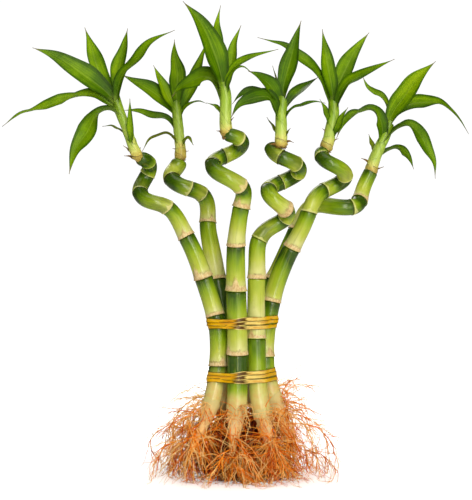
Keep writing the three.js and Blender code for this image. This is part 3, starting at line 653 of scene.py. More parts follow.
class Piece:
    """A piece that is put together from copies of templates, each with its own marks for the finish."""

    def __init__(self, name):
        self.name = name
        self.points = []
        self.faces = []
        self.finishes = []
        self.marks = {}
        self.count = 0

    def add(self, points, faces, finish=0, **marks):
        """Adds a shape. A mark is three values, each one number or an array with one for each point."""
        for mark, values in marks.items():
            rows = np.column_stack([np.broadcast_to(value, len(points)) for value in values])
            self.marks.setdefault(mark, []).append((self.count, rows))
        self.faces.extend(tuple(i + self.count for i in face) for face in faces)
        self.finishes.extend([finish] * len(faces))
        self.points.append(points)
        self.count += len(points)

    def finish(self, materials, slot, replaces, crease):
        """Makes the object. Edges sharper than the crease, in degrees, stay sharp."""
        mesh = bpy.data.meshes.new(self.name)
        mesh.from_pydata(np.vstack(self.points).tolist(), [], self.faces)
        for material in materials:
            mesh.materials.append(material)
        mesh.polygons.foreach_set("material_index", self.finishes)
        for mark, parts in self.marks.items():
            values = np.zeros((self.count, 3))
            for start, rows in parts:
                values[start : start + len(rows)] = rows
            attribute = mesh.attributes.new(mark, "FLOAT_VECTOR", "POINT")
            attribute.data.foreach_set("vector", values.astype(np.float32).ravel())
        mesh.validate()
        piece = bpy.data.objects.new(self.name, mesh)
        bpy.context.scene.collection.objects.link(piece)
        pick_only(piece)
        bpy.ops.object.shade_smooth_by_angle(angle=math.radians(crease))
        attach(piece, "root")
        if replaces:
            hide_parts(*replaces)
        return piece


# Finishes


class Finish:
    """A material, and short ways to wire its nodes."""

    def __init__(self, name):
        self.material = bpy.data.materials.new(name)
        self.material.use_nodes = True
        self.tree = self.material.node_tree
        self.shader = self.tree.nodes["Principled BSDF"]

    def node(self, kind, inputs=(), **settings):
        node = self.tree.nodes.new(kind)
        for setting, value in settings.items():
            setattr(node, setting, value)
        for place, value in dict(inputs).items():
            self.feed(node.inputs[place], value)
        return node

    def feed(self, socket, value):
        if isinstance(value, bpy.types.NodeSocket):
            self.tree.links.new(value, socket)
        else:
            socket.default_value = value

    def spot(self):
        """The place on the piece, in its own coordinates."""
        return self.node("ShaderNodeTexCoord").outputs["Object"]

    def vector(self, mark):
        """A mark that the mesh carries."""
        return self.node("ShaderNodeAttribute", attribute_name=mark).outputs["Vector"]

    def split(self, vector):
        """The three values of a vector."""
        return self.node("ShaderNodeSeparateXYZ", {0: vector}).outputs

    def join(self, x, y, z):
        return self.node("ShaderNodeCombineXYZ", {0: x, 1: y, 2: z}).outputs[0]

    def sum(self, operation, a, b=0.0, c=0.0):
        return self.node("ShaderNodeMath", {0: a, 1: b, 2: c}, operation=operation).outputs[0]

    def add(self, a, b):
        return self.sum("ADD", a, b)

    def less(self, a, b):
        return self.sum("SUBTRACT", a, b)

    def times(self, a, b):
        return self.sum("MULTIPLY", a, b)

    def scaled(self, value, by, plus):
        """A value times one number, plus another."""
        return self.sum("MULTIPLY_ADD", value, by, plus)

    def step(self, value, low, high):
        """0 below low, 1 above high, and smooth between them; the other way round where low is over high."""
        ends = {"Value": value, "From Min": low, "From Max": high}
        if low > high:
            ends = {"Value": value, "From Min": high, "From Max": low, "To Min": 1.0, "To Max": 0.0}
        return self.node("ShaderNodeMapRange", ends, interpolation_type="SMOOTHSTEP").outputs["Result"]

    def stretch(self, vector, scale):
        return self.node("ShaderNodeVectorMath", {0: vector, 1: scale}, operation="MULTIPLY").outputs[0]

    def noise(self, vector, scale, detail=3.0, roughness=0.55):
        ends = {"Vector": vector, "Scale": scale, "Detail": detail, "Roughness": roughness}
        return self.node("ShaderNodeTexNoise", ends).outputs["Fac"]

    def streaks(self, vector, squeeze, scale, detail=3.0, roughness=0.55):
        """Noise that is drawn out along Z, as its Z is squeezed."""
        return self.noise(self.stretch(vector, (1.0, 1.0, squeeze)), scale, detail, roughness)

    def ramp(self, value, stops):
        node = self.node("ShaderNodeValToRGB", {"Fac": value})
        elements = node.color_ramp.elements
        while len(elements) < len(stops):
            elements.new(1)
        for element, (place, shade) in zip(elements, stops):
            element.position = place
            element.color = shade
        return node.outputs["Color"]

    def mix(self, share, a, b):
        """The first colour at a share of 0, and the second at 1."""
        node = self.node("ShaderNodeMix", data_type="RGBA", blend_type="MIX")
        colours = [socket for socket in node.inputs if socket.type == "RGBA"]
        self.feed(node.inputs[0], share)
        self.feed(colours[0], a)
        self.feed(colours[1], b)
        return next(socket for socket in node.outputs if socket.type == "RGBA")

    def tinge(self, skin, shade, strength, value, low, high):
        """A skin under a thin layer of another shade, where a value goes from low to high."""
        return self.mix(self.times(self.step(value, low, high), strength), skin, shade)

    def bump(self, height, strength, distance):
        ends = {"Height": height, "Strength": strength, "Distance": distance}
        self.feed(self.shader.inputs["Normal"], self.node("ShaderNodeBump", ends).outputs[0])

    def show(self, **inputs):
        """Feeds the shader's inputs, with low lines for spaces in their names, and gives the material."""
        for socket, value in inputs.items():
            self.feed(self.shader.inputs[socket.replace("_", " ")], value)
        return self.material


def cane_finish(look):
    """Dark green under each ring, fading to yellow-green over the next, with papery tan rings."""
    f = Finish("green cane")
    pale, above, below = f.split(f.vector("joint"))
    bud, band, end = f.split(f.vector("skin"))
    straight = f.vector("straight")
    fibre = f.streaks(straight, 0.05, 700.0, 4.0)
    streak = f.streaks(straight, 0.12, 240.0)
    blotch = f.noise(straight, 170.0, 4.0, 0.65)
    cloud = f.streaks(straight, 0.5, 75.0, 2.0)
    drift = f.scaled(cloud, 0.6, f.scaled(streak, 0.3, -0.45))
    skin = f.ramp(
        f.sum("MINIMUM", f.add(pale, drift), f.scaled(band, 0.45, 0.6)),
        [
            (0.0, look.dark_green),
            (0.1, look.dark_green),
            (0.24, look.mid_green),
            (0.44, look.light_green),
            (0.74, look.yellow_green),
            (1.0, look.pale_yellow),
        ],
    )
    skin = f.tinge(skin, look.yellow_green, 0.22, fibre, 0.54, 0.72)
    skin = f.tinge(skin, look.dark_green, 0.22, fibre, 0.46, 0.3)
    skin = f.tinge(skin, look.ring_brown, 0.14, blotch, 0.56, 0.74)
    # dark green patches over the spiral joints: partly a mottled skin, partly painted shade for their darker
    # bends
    mottle_and_shade = f.times(f.step(cloud, 0.44, 0.66), f.step(band, 0.8, 0.3))
    skin = f.mix(f.times(mottle_and_shade, 0.75), skin, look.dark_green)
    # the foot, where the green pales to tan
    foot = f.step(f.scaled(cloud, 0.5, f.add(end, -0.25)), 0.25, 0.8)
    skin = f.mix(foot, skin, f.mix(f.step(blotch, 0.2, 0.8), look.foot_tan, look.pale_yellow))
    # over each ring: a cream zone, then papery tan with a ragged edge that is higher over the bud
    rag = f.streaks(straight, 0.35, 800.0, 4.0, 0.7)
    cream = f.step(f.scaled(streak, 5.0, above), 10.5, 4.5)
    skin = f.mix(f.times(cream, f.times(band, 0.5)), skin, look.pale_yellow)
    height = f.scaled(f.step(bud, 0.5, 1.0), look.bud_height / MM, look.band_height / MM)
    rise = f.sum("DIVIDE", above, f.times(height, f.scaled(rag, 1.5, 0.22)))
    papery = f.step(rise, 1.15, 0.65)
    grain = f.streaks(straight, 0.5, 520.0, 4.0, 0.7)
    paper = f.ramp(
        grain,
        [(0.24, look.ring_brown), (0.42, look.ring_tan), (0.58, look.ring_pale), (0.78, look.ring_cream)],
    )
    paper = f.mix(f.step(band, 0.3, 0.8), look.pale_yellow, paper)
    skin = f.mix(f.times(papery, 0.85), skin, paper)
    # brown flecks along the ragged edge, the brown rim of the ring and the thin dark line under it
    marked = f.step(band, 0.2, 0.9)
    fleck = f.times(f.step(rise, 0.7, 0.95), f.step(rise, 1.35, 1.05))
    fleck = f.times(fleck, f.times(f.step(blotch, 0.4, 0.7), marked))
    skin = f.mix(f.times(fleck, 0.7), skin, look.ring_brown)
    rim = f.times(f.step(above, 0.8, 0.2), f.step(rag, 0.35, 0.65))
    skin = f.mix(f.times(rim, f.scaled(marked, 0.5, 0.25)), skin, look.ring_brown)
    skin = f.tinge(skin, look.ring_shadow, 0.7, below, 1.0, 0.35)
    # the dry cut top
    skin = f.mix(f.step(end, -0.25, -0.8), skin, look.ring_brown)
    rough = f.scaled(papery, 0.35, f.scaled(fibre, 0.14, look.gloss))
    f.bump(f.scaled(f.times(papery, grain), 2.5, fibre), 0.35, 0.22 * MM)
    return f.show(Base_Color=skin, Roughness=rough, Specular_IOR_Level=0.42)


def leaf_finish(look):
    """Fine lengthwise veins, a pale midrib, darker edges and a paler underside, with painted shade towards
    the base and painted light on one half of the blade.
    """
    f = Finish("green leaf")
    side, along, tint = f.split(f.vector("blade"))
    under, seed, dry = f.split(f.vector("face"))
    lines = f.join(side, f.times(along, 0.12), seed)
    veins = f.noise(lines, 16.0, 2.0, 0.6)
    fine = f.noise(lines, 55.0, 2.0, 0.6)
    cloud = f.noise(f.spot(), 60.0)
    away = f.sum("ABSOLUTE", side)
    value = f.scaled(f.less(veins, 0.5), 0.6, tint)
    value = f.scaled(f.less(cloud, 0.5), 0.65, value)
    value = f.less(value, f.times(f.step(away, 0.55, 1.0), 0.36))
    # one half of the folded blade a little paler: painted light
    value = f.add(value, f.times(side, 0.07))
    # darker towards the base: painted shade where the leaves crowd round the stem
    value = f.less(value, f.times(f.step(along, 0.4, 0.12), 0.2))
    skin = f.ramp(
        value,
        [
            (0.0, look.shade_green),
            (0.3, look.deep_green),
            (0.58, look.leaf_green),
            (0.95, look.bright_green),
        ],
    )
    skin = f.tinge(skin, look.bright_green, 0.12, fine, 0.5, 0.75)
    rib = f.times(f.step(away, 0.11, 0.02), f.step(along, 0.95, 0.4))
    skin = f.mix(f.times(rib, 0.14), skin, look.stem_green)
    skin = f.tinge(skin, look.stem_green, 0.4, along, 0.14, 0.02)
    skin = f.mix(f.times(under, 0.34), skin, look.under_green)
    skin = f.tinge(skin, look.tip_brown, 0.85, along, 0.88, 0.98)
    skin = f.mix(dry, skin, f.ramp(veins, [(0.4, look.dry_dark), (0.85, look.dry_tan)]))
    rough = f.scaled(under, 0.15, f.scaled(fine, 0.18, look.gloss))
    rough = f.scaled(dry, 0.3, rough)
    f.bump(f.add(veins, f.times(fine, 0.25)), 0.35, 0.35 * MM)
    return f.show(Base_Color=skin, Roughness=rough, Specular_IOR_Level=0.12)


def stem_finish(look):
    """A pale stem wrapped in sheaths, ochre at its foot and greener towards its leaves."""
    f = Finish("pale stem")
    side, along, tint = f.split(f.vector("blade"))
    rim, seed, dry = f.split(f.vector("face"))
    fibre = f.noise(f.join(side, f.times(along, 0.35), seed), 14.0, 3.0, 0.6)
    spot = f.spot()
    cloud = f.noise(spot, 160.0)
    skin = f.ramp(
        f.add(f.add(along, tint), f.scaled(cloud, 0.32, -0.16)),
        [
            (0.0, look.dry_tan),
            (0.07, look.stem_ochre),
            (0.16, look.stem_tan),
            (0.25, look.stem_yellow),
            (0.38, look.stem_green),
            (0.74, look.stem_top),
            (1.0, look.leaf_green),
        ],
    )
    skin = f.tinge(skin, look.stem_yellow, 0.35, fibre, 0.5, 0.72)
    skin = f.tinge(skin, look.leaf_green, 0.25, fibre, 0.5, 0.3)
    skin = f.mix(f.times(rim, 0.5), skin, look.deep_green)
    skin = f.mix(dry, skin, f.ramp(f.noise(spot, 700.0), [(0.3, look.dry_dark), (0.65, look.dry_tan)]))
    skin = f.mix(f.times(rim, f.step(dry, 0.05, 0.3)), skin, look.dry_dark)
    f.bump(fibre, 0.3, 0.25 * MM)
    return f.show(Base_Color=skin, Roughness=f.scaled(dry, 0.35, f.scaled(fibre, 0.14, look.gloss)))


def root_finish(look):
    """Dry wiry roots: each strand has its own colour from dark red-brown to pale straw, and strands deep in
    the heap are darkened as painted shade.
    """
    f = Finish("orange root")
    tint, along, depth = f.split(f.vector("strand"))
    spot = f.spot()
    cloud = f.noise(spot, 90.0)
    grain = f.noise(spot, 900.0)
    skin = f.ramp(
        f.add(tint, f.scaled(cloud, 0.5, f.scaled(grain, 0.3, -0.4))),
        [
            (0.0, look.root_dark_and_shade),
            (0.25, look.root_red),
            (0.52, look.root_orange),
            (0.78, look.root_gold),
            (1.0, look.root_straw),
        ],
    )
    # strands deep in the heap darken towards the gap colour: painted shade
    skin = f.mix(f.times(depth, 0.85), skin, look.root_dark_and_shade)
    skin = f.tinge(skin, look.root_red, 0.3, along, 0.75, 1.0)
    f.bump(grain, 0.5, 0.15 * MM)
    return f.show(
        Base_Color=skin, Roughness=f.scaled(grain, 0.25, look.root_roughness), Specular_IOR_Level=0.2
    )


def crown_finish(look):
    """The pale woody crown under a cane, browner and more scarred towards its roots."""
    f = Finish("pale crown")
    _, down, _ = f.split(f.vector("strand"))
    spot = f.spot()
    cloud = f.noise(spot, 180.0, 4.0, 0.6)
    fibre = f.streaks(spot, 0.12, 1300.0, 4.0, 0.65)
    skin = f.ramp(
        f.scaled(cloud, 0.95, f.scaled(fibre, 0.75, -0.36)),
        [(0.2, look.crown_brown), (0.4, look.root_straw), (0.6, look.crown_pale), (0.85, look.crown_cream)],
    )
    skin = f.mix(f.step(f.scaled(cloud, 0.3, down), 0.5, 0.1), skin, look.crown_top)
    skin = f.tinge(skin, look.root_gold, 0.7, f.scaled(cloud, 0.6, down), 0.8, 1.5)
    f.bump(f.add(cloud, fibre), 0.7, 0.4 * MM)
    return f.show(Base_Color=skin, Roughness=f.scaled(fibre, 0.2, look.crown_roughness))


def gold_finish(look):
    """Foil ribbon with creases: orange gold at the sides, a painted dark brown reflection at the front and a
    painted cream highlight beside that, with painted glints and painted shade in the creases.
    """
    f = Finish("gold ribbon")
    side, along, turn = f.split(f.vector("ribbon"))
    lines = f.join(f.times(side, 0.5), along, turn)
    crease = f.noise(f.stretch(lines, (1.1, 0.2, 1.0)), 1.6, 3.0, 0.65)
    fine = f.noise(f.stretch(lines, (7.0, 0.3, 1.0)), 3.0)
    # place is 0.5 a little right of the middle of the front, and moves by 1 over the span of the painted
    # reflections
    across, _, _ = f.split(f.spot())
    wander = f.scaled(crease, 16 * MM, f.less(across, 8 * MM))
    place = f.scaled(wander, 1 / look.reflection_span, 0.5)
    # painted reflections: dark brown at the front, and a cream highlight beside it
    dark_reflection = [(0.5, look.gold_dark_reflection), (0.6, look.gold_dark_reflection)]
    cream = [(0.65, look.gold_glint), (0.82, look.gold_glint)]
    skin = f.ramp(place, [(0.42, look.gold_bright), *dark_reflection, *cream, (0.92, look.gold_bright)])
    # painted glints on the pale creases, and painted shade in the deep ones
    skin = f.tinge(skin, look.gold_glint, 0.7, crease, 0.58, 0.66)
    crease_shade = f.ramp(place, [(0.42, look.gold_crease_shade), *dark_reflection, (0.68, look.gold_crease_shade)])
    skin = f.tinge(skin, crease_shade, 0.55, crease, 0.47, 0.4)
    # painted shade along the ribbon's edges, where its turns lie over each other, with a painted highlight
    # there in the dark brown band
    rim = f.ramp(
        place,
        [(0.42, look.gold_dark), (0.48, look.gold_glint), (0.6, look.gold_glint), (0.66, look.gold_dark)],
    )
    skin = f.tinge(skin, rim, 0.9, f.sum("ABSOLUTE", side), 0.62, 0.9)
    f.bump(f.scaled(fine, 0.35, crease), 0.4, 0.4 * MM)
    rough = f.scaled(fine, 0.14, look.gloss)
    return f.show(Base_Color=skin, Roughness=rough, Metallic=0.1, Specular_IOR_Level=0.35)


# Ringed canes

CANE_SIDES = 32
STATION_STEP = 2.2 * MM
NEAREST_STATION = 0.09 * MM
# how far the skin stands out at places round a ring, and the share of that which a faint ring keeps
RING_OFFSETS = np.array([-6, -3.5, -2, -1.2, -0.8, -0.45, -0.2, 0, 0.5, 1.2, 2, 3, 4.5, 6.5, 9]) * MM
RING_RISES = np.array([0, 0.08, 0.14, 0.1, 0.0, -0.25, 0.2, 0.85, 0.8, 0.5, 0.36, 0.28, 0.18, 0.07, 0]) * MM
FAINT_RING = 0.3
# closer places under the cut top, how far it narrows, and the middle of the cut, which dries in
TOP_STATIONS = np.array([4, 3.2, 2.4, 1.7, 1.1, 0.6, 0.3, 0.1, 0]) * MM
TOP_NARROWING = 0.55
TOP_DISH = [(0.5, 0.3 * MM), (0, 0.5 * MM)]
# the cut: all that is less deep under the top and nearer to the axis, as a share of the radius there
CUT_DEPTH = 0.6 * MM
CUT_SHARE = 0.7
# how far over the cut the last joint would have ended, and the height over a ring where there is no ring
CUT_JOINT = 3 * MM
NO_RING = 99
# half the angle that a bud spans, and the millimetres over its ring at which it stands out
BUD_WIDTH = math.radians(52)
BUD_RISE = 3.5
BUD_SPAN = 3
SLANT_REACH = 7 * MM
OVAL_LENGTH = 30 * MM


def cane_stations(stalk):
    """Even places along a cane, and closer ones round each ring and under the top."""
    even = np.arange(stalk.foot, stalk.top, STATION_STEP)
    close = [ring + RING_OFFSETS for ring in stalk.ring_places]
    places = np.unique(np.concatenate([even, *close, stalk.top - TOP_STATIONS]))
    places = places[(places >= stalk.foot) & (places <= stalk.top)]
    kept = [places[0]]
    for place in places[1:]:
        if place - kept[-1] > NEAREST_STATION:
            kept.append(place)
    return np.array(kept)


def ring_rise(stalk, places):
    """How far the skin stands out near the rings, less at the faint ones."""
    return sum(
        np.interp(places - ring, RING_OFFSETS, RING_RISES, left=0, right=0)
        * (FAINT_RING + (1 - FAINT_RING) * band)
        for ring, band in zip(stalk.ring_places, stalk.bands)
    )


def ring_slant(stalk, place, angle, most, chance):
    """How far each ring's surroundings tilt, each ring in a direction of its own."""
    shift = np.zeros(len(place))
    for ring in stalk.ring_places:
        bearing = chance.uniform(0, FULL_TURN)
        near = np.exp(-(((place - ring) / SLANT_REACH) ** 2))
        shift += chance.uniform(0.3, 1) * most * near * np.cos(angle - bearing)
    return shift


def ringed_cane(stalk, look, material):
    chance = np.random.default_rng(stalk.seed)
    foot, top = stalk.foot, stalk.top
    places = cane_stations(stalk)
    radii = stalk.cane_radius(places) + ring_rise(stalk, places)
    near_top = np.clip((places - top) / stalk.top_rounding + 1, 0, 1)
    radii *= 1 - TOP_NARROWING * (1 - np.sqrt(1 - near_top**2))
    profile = [(0, foot), (radii[0] - look.rounding, foot)]
    profile += [(radius, max(place, foot + look.rounding)) for radius, place in zip(radii, places)]
    profile += [(radii[-1] * share, top - depth) for share, depth in TOP_DISH]
    shape, faces = turned_template(profile, CANE_SIDES)

    # joint: the number of the joint that a point is on; the foot's is 0 and has no ring
    angle = np.arctan2(shape[:, 1], shape[:, 0])
    radius = np.hypot(shape[:, 0], shape[:, 1])
    place = shape[:, 2].copy()
    starts = np.concatenate([[foot], stalk.ring_places, [top + CUT_JOINT]])
    joint = np.clip(np.searchsorted(starts, place, side="right") - 1, 0, len(starts) - 2)
    lower, upper = starts[joint], starts[joint + 1]
    band = np.array([1, *stalk.bands])[joint]
    above = np.where(joint > 0, (place - lower) / MM / band, NO_RING)
    below = (upper - place) / MM
    away = np.abs((angle - np.array([0, *stalk.buds])[joint] + math.pi) % FULL_TURN - math.pi)
    bud = np.clip(1 - away / BUD_WIDTH, 0, 1) * chance.uniform(0.85, 1, len(starts))[joint]
    # each joint's tone, which on a few joints holds painted shade and on one a painted highlight
    tone = np.array([stalk.foot_tone, *stalk.tones])[joint]
    tone += chance.uniform(-0.04, 0.04, len(starts))[joint]
    # end: 1 at the pale foot, and below 0 on the cut
    pale_foot = look.foot_height * stalk.pale_foot
    end = np.clip((foot + pale_foot - place) / pale_foot, 0, 1)
    end -= np.where((place > top - CUT_DEPTH) & (radius < CUT_SHARE * radii[-1]), 1.0, 0)

    # a bud swells a little over its ring, rings slant, and a cane isn't quite round
    swell = bud**2 * np.exp(-(((above - BUD_RISE) / BUD_SPAN) ** 2)) * look.bud_swell
    shape[:, 2] += ring_slant(stalk, place, angle, look.ring_slant, chance)
    phase = chance.uniform(0, FULL_TURN, 2)
    oval = 1 + 0.012 * np.sin(2 * angle + phase[0] + place / OVAL_LENGTH)
    oval += 0.01 * np.sin(3 * angle + phase[1])
    grown = np.where(radius > MM, (radius * oval + swell) / np.maximum(radius, MM), 1)
    straight = shape.copy()
    shape[:, :2] *= grown[:, None]

    piece = Piece(f"ringed_cane_{stalk.name}")
    piece.add(
        stalk.route.lay(shape),
        faces,
        joint=(1 - (place - lower) / (upper - lower) + tone, above, below),
        skin=(bud, band, end),
        straight=(straight + stalk.seed).T,
    )
    return piece.finish([material], "cane", [f"cane_{stalk.name}"], crease=50)


# Leafy shoots

# columns and rows of each template
BLADE_GRID = (10, 40)
STUB_GRID = (6, 16)
STEM_GRID = (16, 40)
SHEATH_GRID = (18, 8)
RAGGED_SHEATH_GRID = (36, 8)
# a blade's breadth at its base, as a share of its full breadth, and where it is broadest
BLADE_BASE = 0.3
BLADE_WIDEST = 0.42
NARROWEST_BLADE = 0.5 * MM
# how much deeper a blade folds where it clasps the stem, and how soon that eases
CLASP_FOLD = 0.9
CLASP_LENGTH = 0.09
SHEATH_WRAP = math.radians(158)
SHEATH_TINT = 0.05
SHEATH_HEIGHTS = (13 * MM, 24 * MM)
SHORTEST_SHEATH = 3 * MM
# corners along a ragged sheath's edge, and how far they stand out
RAGS = 23
RAG_HEIGHT = 0.5 * MM
STEM_SWELLING = 8 * MM
STEM_NARROWING = 0.66
STEM_SLIMNESS = 0.96
# where along the stem its end among the leaves starts, and how narrow that is
STEM_END = 0.97
STEM_END_WIDTH = 0.75
# how high over its foot a stem starts to be dry, where it is quite dry, and how dry that is
STEM_DRY_FROM = 1.6 * MM
STEM_DRY_TO = 0.2 * MM
STEM_DRYNESS = 0.75
LEAF_TINT = 0.42
THIN_LEAF = 5
THIN_LEAF_DRYNESS = 0.35
# the place, height and dryness of each dry collar round a stem's foot
COLLARS = [(0.9 * MM, 1 * MM, 1.174), (7 * MM, 5 * MM, 0.32)]
# how deep in the stem a stub starts, as a share of the radius, and how far under its place
STUB_DEPTH = 0.8
STUB_ROOT = 5 * MM


def blade_lifts(roll, leaning):
    """Where a leaf's upper face looks, from the front at a roll of 0 to upwards at 90."""

    def lifts(route):
        turned = np.radians(spread(roll, route.reach / route.length))[:, None]
        facing = square_to(route.tangent, FRONT)
        upward = np.cross(facing, route.tangent) * leaning
        return facing * np.cos(turned) + upward * np.sin(turned)

    return lifts


def blade_breadth(share):
    """A blade's breadth at a share of its length, as a share of its full breadth."""
    rise = np.sin(np.clip(share / BLADE_WIDEST, 0, 1) * math.pi / 2) ** 1.4
    fall = np.cos(np.clip((share - BLADE_WIDEST) / (1 - BLADE_WIDEST), 0, 1) * math.pi / 2)
    return np.where(share < BLADE_WIDEST, BLADE_BASE + (1 - BLADE_BASE) * rise, np.maximum(fall, 0) ** 1.35)


def add_blade(piece, template, leaf, look, chance, tone=0.0, dry=0.0):
    """A leaf laid along its midrib, folded, with waving edges and a clasping base."""
    points, faces = template
    midrib = np.array(leaf.midrib) * MM
    leaning = math.copysign(1, midrib[-1][0] - midrib[0][0] or 1)
    route = Route(smooth_line(midrib), blade_lifts(leaf.roll, leaning))
    side, below, along = points.T
    half = np.maximum(leaf.breadth * MM * blade_breadth(along), NARROWEST_BLADE) / 2
    fold = look.fold + CLASP_FOLD * np.exp(-along / CLASP_LENGTH)
    phase = chance.uniform(0, FULL_TURN, 3)
    wave = np.sin(along * 9 + phase[0]) + 0.6 * np.sin(along * 17 + phase[1])
    wave *= np.where(side > 0, 1, np.cos(phase[2])) * smooth_step(along, 0.1, 0.4) * (1 - along)
    ripple = np.where(side > 0, np.sin(along * 13 + phase[0]), np.sin(along * 11 + phase[1]))
    half = half * (1 + look.edge_ripple * ripple * smooth_step(along, 0.15, 0.4))
    wall = look.leaf_thickness * (1 - 0.6 * np.abs(side)) * (1 - 0.5 * along)
    height = half * fold * np.abs(side) ** 1.25 + look.edge_wave * wave * side**2 + below * wall
    shape = np.column_stack([side * half, height, along * route.length])
    upright = (midrib[-1][2] - midrib[0][2]) / route.length
    # upright leaves are a little paler: painted light, as if lit through; a leaf's tone is painted light on
    # some leaves
    tint = LEAF_TINT + tone + leaf.tone + 0.08 * upright + chance.uniform(-0.12, 0.08)
    piece.add(
        route.lay(shape), faces, 1, blade=(side, along, tint), face=(-below, chance.uniform(0, 50), dry)
    )


def stem_radius(stalk, look, places):
    """A stem's radius, swollen over its foot, which narrows downwards."""
    swollen = look.foot_swell * np.exp(-((places / STEM_SWELLING) ** 2))
    taper = np.interp(places, [0, stalk.foot_taper], [STEM_NARROWING, 1])
    share = np.clip(places / stalk.stem_route.length, 0, 1)
    return (spread(stalk.stem_radii, share) * MM * STEM_SLIMNESS + swollen) * taper


def add_sheath(piece, template, stalk, place, bearing, height, look, chance, dry=0.0, ragged=0.0):
    """A sheath that clasps the stem below a leaf, with a slanting upper edge."""
    points, faces = template
    side, below, along = points.T
    angle = bearing + side * SHEATH_WRAP
    rim = place + 0.25 * height * np.cos(side * SHEATH_WRAP) - 0.28 * height * (side + 0.4) ** 2
    rim += ragged * np.interp(side, np.linspace(-1, 1, RAGS), chance.uniform(-1, 1, RAGS))
    start = place - height
    reach = start + along * (rim - start)
    proud = look.sheath_thickness * (0.25 + 0.75 * smooth_step(along, 0, 0.7)) + 0.12 * MM * (1 + side)
    radius = stem_radius(stalk, look, reach) + proud + below * 0.8 * proud
    shape = np.column_stack([radius * np.cos(angle), radius * np.sin(angle), reach])
    share = np.clip(reach / stalk.stem_route.length, 0, 1)
    piece.add(
        stalk.stem_route.lay(shape),
        faces,
        blade=(side, share, SHEATH_TINT),
        face=(smooth_step(along, 0.9, 1), chance.uniform(0, 50), dry),
    )


def add_stem(piece, template, stalk, look):
    """The stem of a shoot, with a dry foot and a narrow end among the leaves."""
    points, faces = template
    x, y, along = points.T
    reach = along * stalk.stem_route.length
    radius = stem_radius(stalk, look, reach) * np.where(along > STEM_END, STEM_END_WIDTH, 1)
    shape = np.column_stack([x * radius, y * radius, reach])
    dry = STEM_DRYNESS * smooth_step(reach, STEM_DRY_FROM, STEM_DRY_TO)
    piece.add(
        stalk.stem_route.lay(shape),
        faces,
        blade=(np.arctan2(y, x) / math.pi, along, 0),
        face=(0, stalk.seed, dry),
    )


def leafy_shoot(stalk, look, templates, materials):
    chance = np.random.default_rng(stalk.seed + SHOOT_SEED)
    rod, blade, sheath = templates
    stem = stalk.stem_route
    piece = Piece(f"leafy_shoot_{stalk.name}")
    add_stem(piece, rod, stalk, look)
    for leaf in stalk.leaves:
        dry = THIN_LEAF_DRYNESS if leaf.breadth < THIN_LEAF else 0
        add_blade(piece, blade, leaf, look, chance, tone=stalk.leaf_tone, dry=dry)
        midrib = np.array(leaf.midrib) * MM
        place = stem.nearest(midrib[0])
        bearing = stem.bearing(place, midrib[1])
        height = min(place - 2 * MM, chance.uniform(*SHEATH_HEIGHTS))
        if height > SHORTEST_SHEATH:
            add_sheath(piece, sheath, stalk, place, bearing, height, look, chance)
    return piece.finish(materials, "leaf", [f"shoot_{stalk.name}"], crease=55)


def add_stub(piece, template, stalk, stub, look, chance):
    """A dry stub that starts inside the stem's skin and curls out to its tip."""
    tip = np.array(stub.tip) * MM
    place = stub.start * MM
    bearing = stalk.stem_route.bearing(place, tip)
    radius = stem_radius(stalk, look, place) * STUB_DEPTH
    x, y = radius * math.cos(bearing), radius * math.sin(bearing)
    low, high = stalk.stem_route.lay(np.array([[x, y, place - STUB_ROOT], [x, y, place]]))
    middle = (high + tip) / 2 + np.array([0, 0, chance.uniform(0, 1.5) * MM])
    breadth = chance.uniform(2.4, 3.8)
    roll = [20, chance.uniform(30, 80)]
    leaf = Leaf(breadth, roll, np.array([low, high, middle, tip]) / MM)
    add_blade(piece, template, leaf, look, chance, dry=1.0)


def dry_sheath(stalk, look, templates, materials):
    """The brown ragged collars of old sheaths at a shoot's foot, and their dry stubs."""
    chance = np.random.default_rng(stalk.seed + SHEATH_SEED)
    blade, sheath = templates
    piece = Piece(f"dry_sheath_{stalk.name}")
    for place, height, dry in COLLARS:
        bearing = chance.uniform(0, FULL_TURN)
        add_sheath(piece, sheath, stalk, place, bearing, height, look, chance, dry, RAG_HEIGHT)
    for stub in stalk.stubs:
        add_stub(piece, blade, stalk, stub, look, chance)
    return piece.finish(materials, "leaf", [], crease=55)


# Root tufts

THICK_ROOT_GRID = (6, 18)
THIN_ROOT_GRID = (4, 9)
FINE_ROOT_GRID = (3, 5)
CROWN_SIDES = 28
CROWN_STATIONS = 40
MAT_SIDES = 20
ROOT_CENTRE = np.array([0, 8, 0]) * MM
ROOT_HEAP = np.array([54, 46, 58]) * MM
ROOT_SPREAD = {"left": 88 * MM, "right": 94 * MM, "front": 66 * MM, "back": 56 * MM}
# a direction that no root runs along, from which those across each root are carried
ROOT_START = unit(np.array([0.31, 0.47, 0.83]))
KNOB_LENGTH = 1.7 * MM
SWAY_LENGTH = 26 * MM
# the crown's lower end, how far out in it the roots start, and its collar, which laps over the cane's foot
CROWN_END = 1.8 * MM
CROWN_BELOW = 9 * MM
CROWN_DEPTH = 0.85
COLLAR_RISES = np.array([1, 2, 2.8, 3.4]) * MM
COLLAR_STANDS = np.array([0.35, 0.3, 0.1, -0.6]) * MM
# radii and heights of the mat in the middle of a tuft, in millimetres
MAT_PROFILE = [(0, 4), (7, 4), (9.5, 7), (10, 12), (9.5, 22), (8.5, 32), (7, 41), (4.5, 48), (0, 50)]
MAT_HEIGHT = 50 * MM
# how far the foot and head of the mat lie from the stalk towards the middle of the roots
MAT_LEAN = (0.4, 0.75)
FLOOR_GAP = 0.15 * MM
LINE_GAP = 0.5 * MM
# points on the line of each kind of root
MAIN_POINTS = 20
FRINGE_POINTS = 12
INNER_POINTS = 12
SIDE_POINTS = 10
FINE_POINTS = 6
SIDE_TINTS = [0.25, 0.5, 0.75, 0.95, 1.2]


def heap_shade(points):
    """How deep points lie in the heap of roots, which sets their painted shade: 0 on its outside, 1 in its
    middle.
    """
    return 1 - smooth_step(np.linalg.norm((points - ROOT_CENTRE) / ROOT_HEAP, axis=1), 0.66, 1.08)


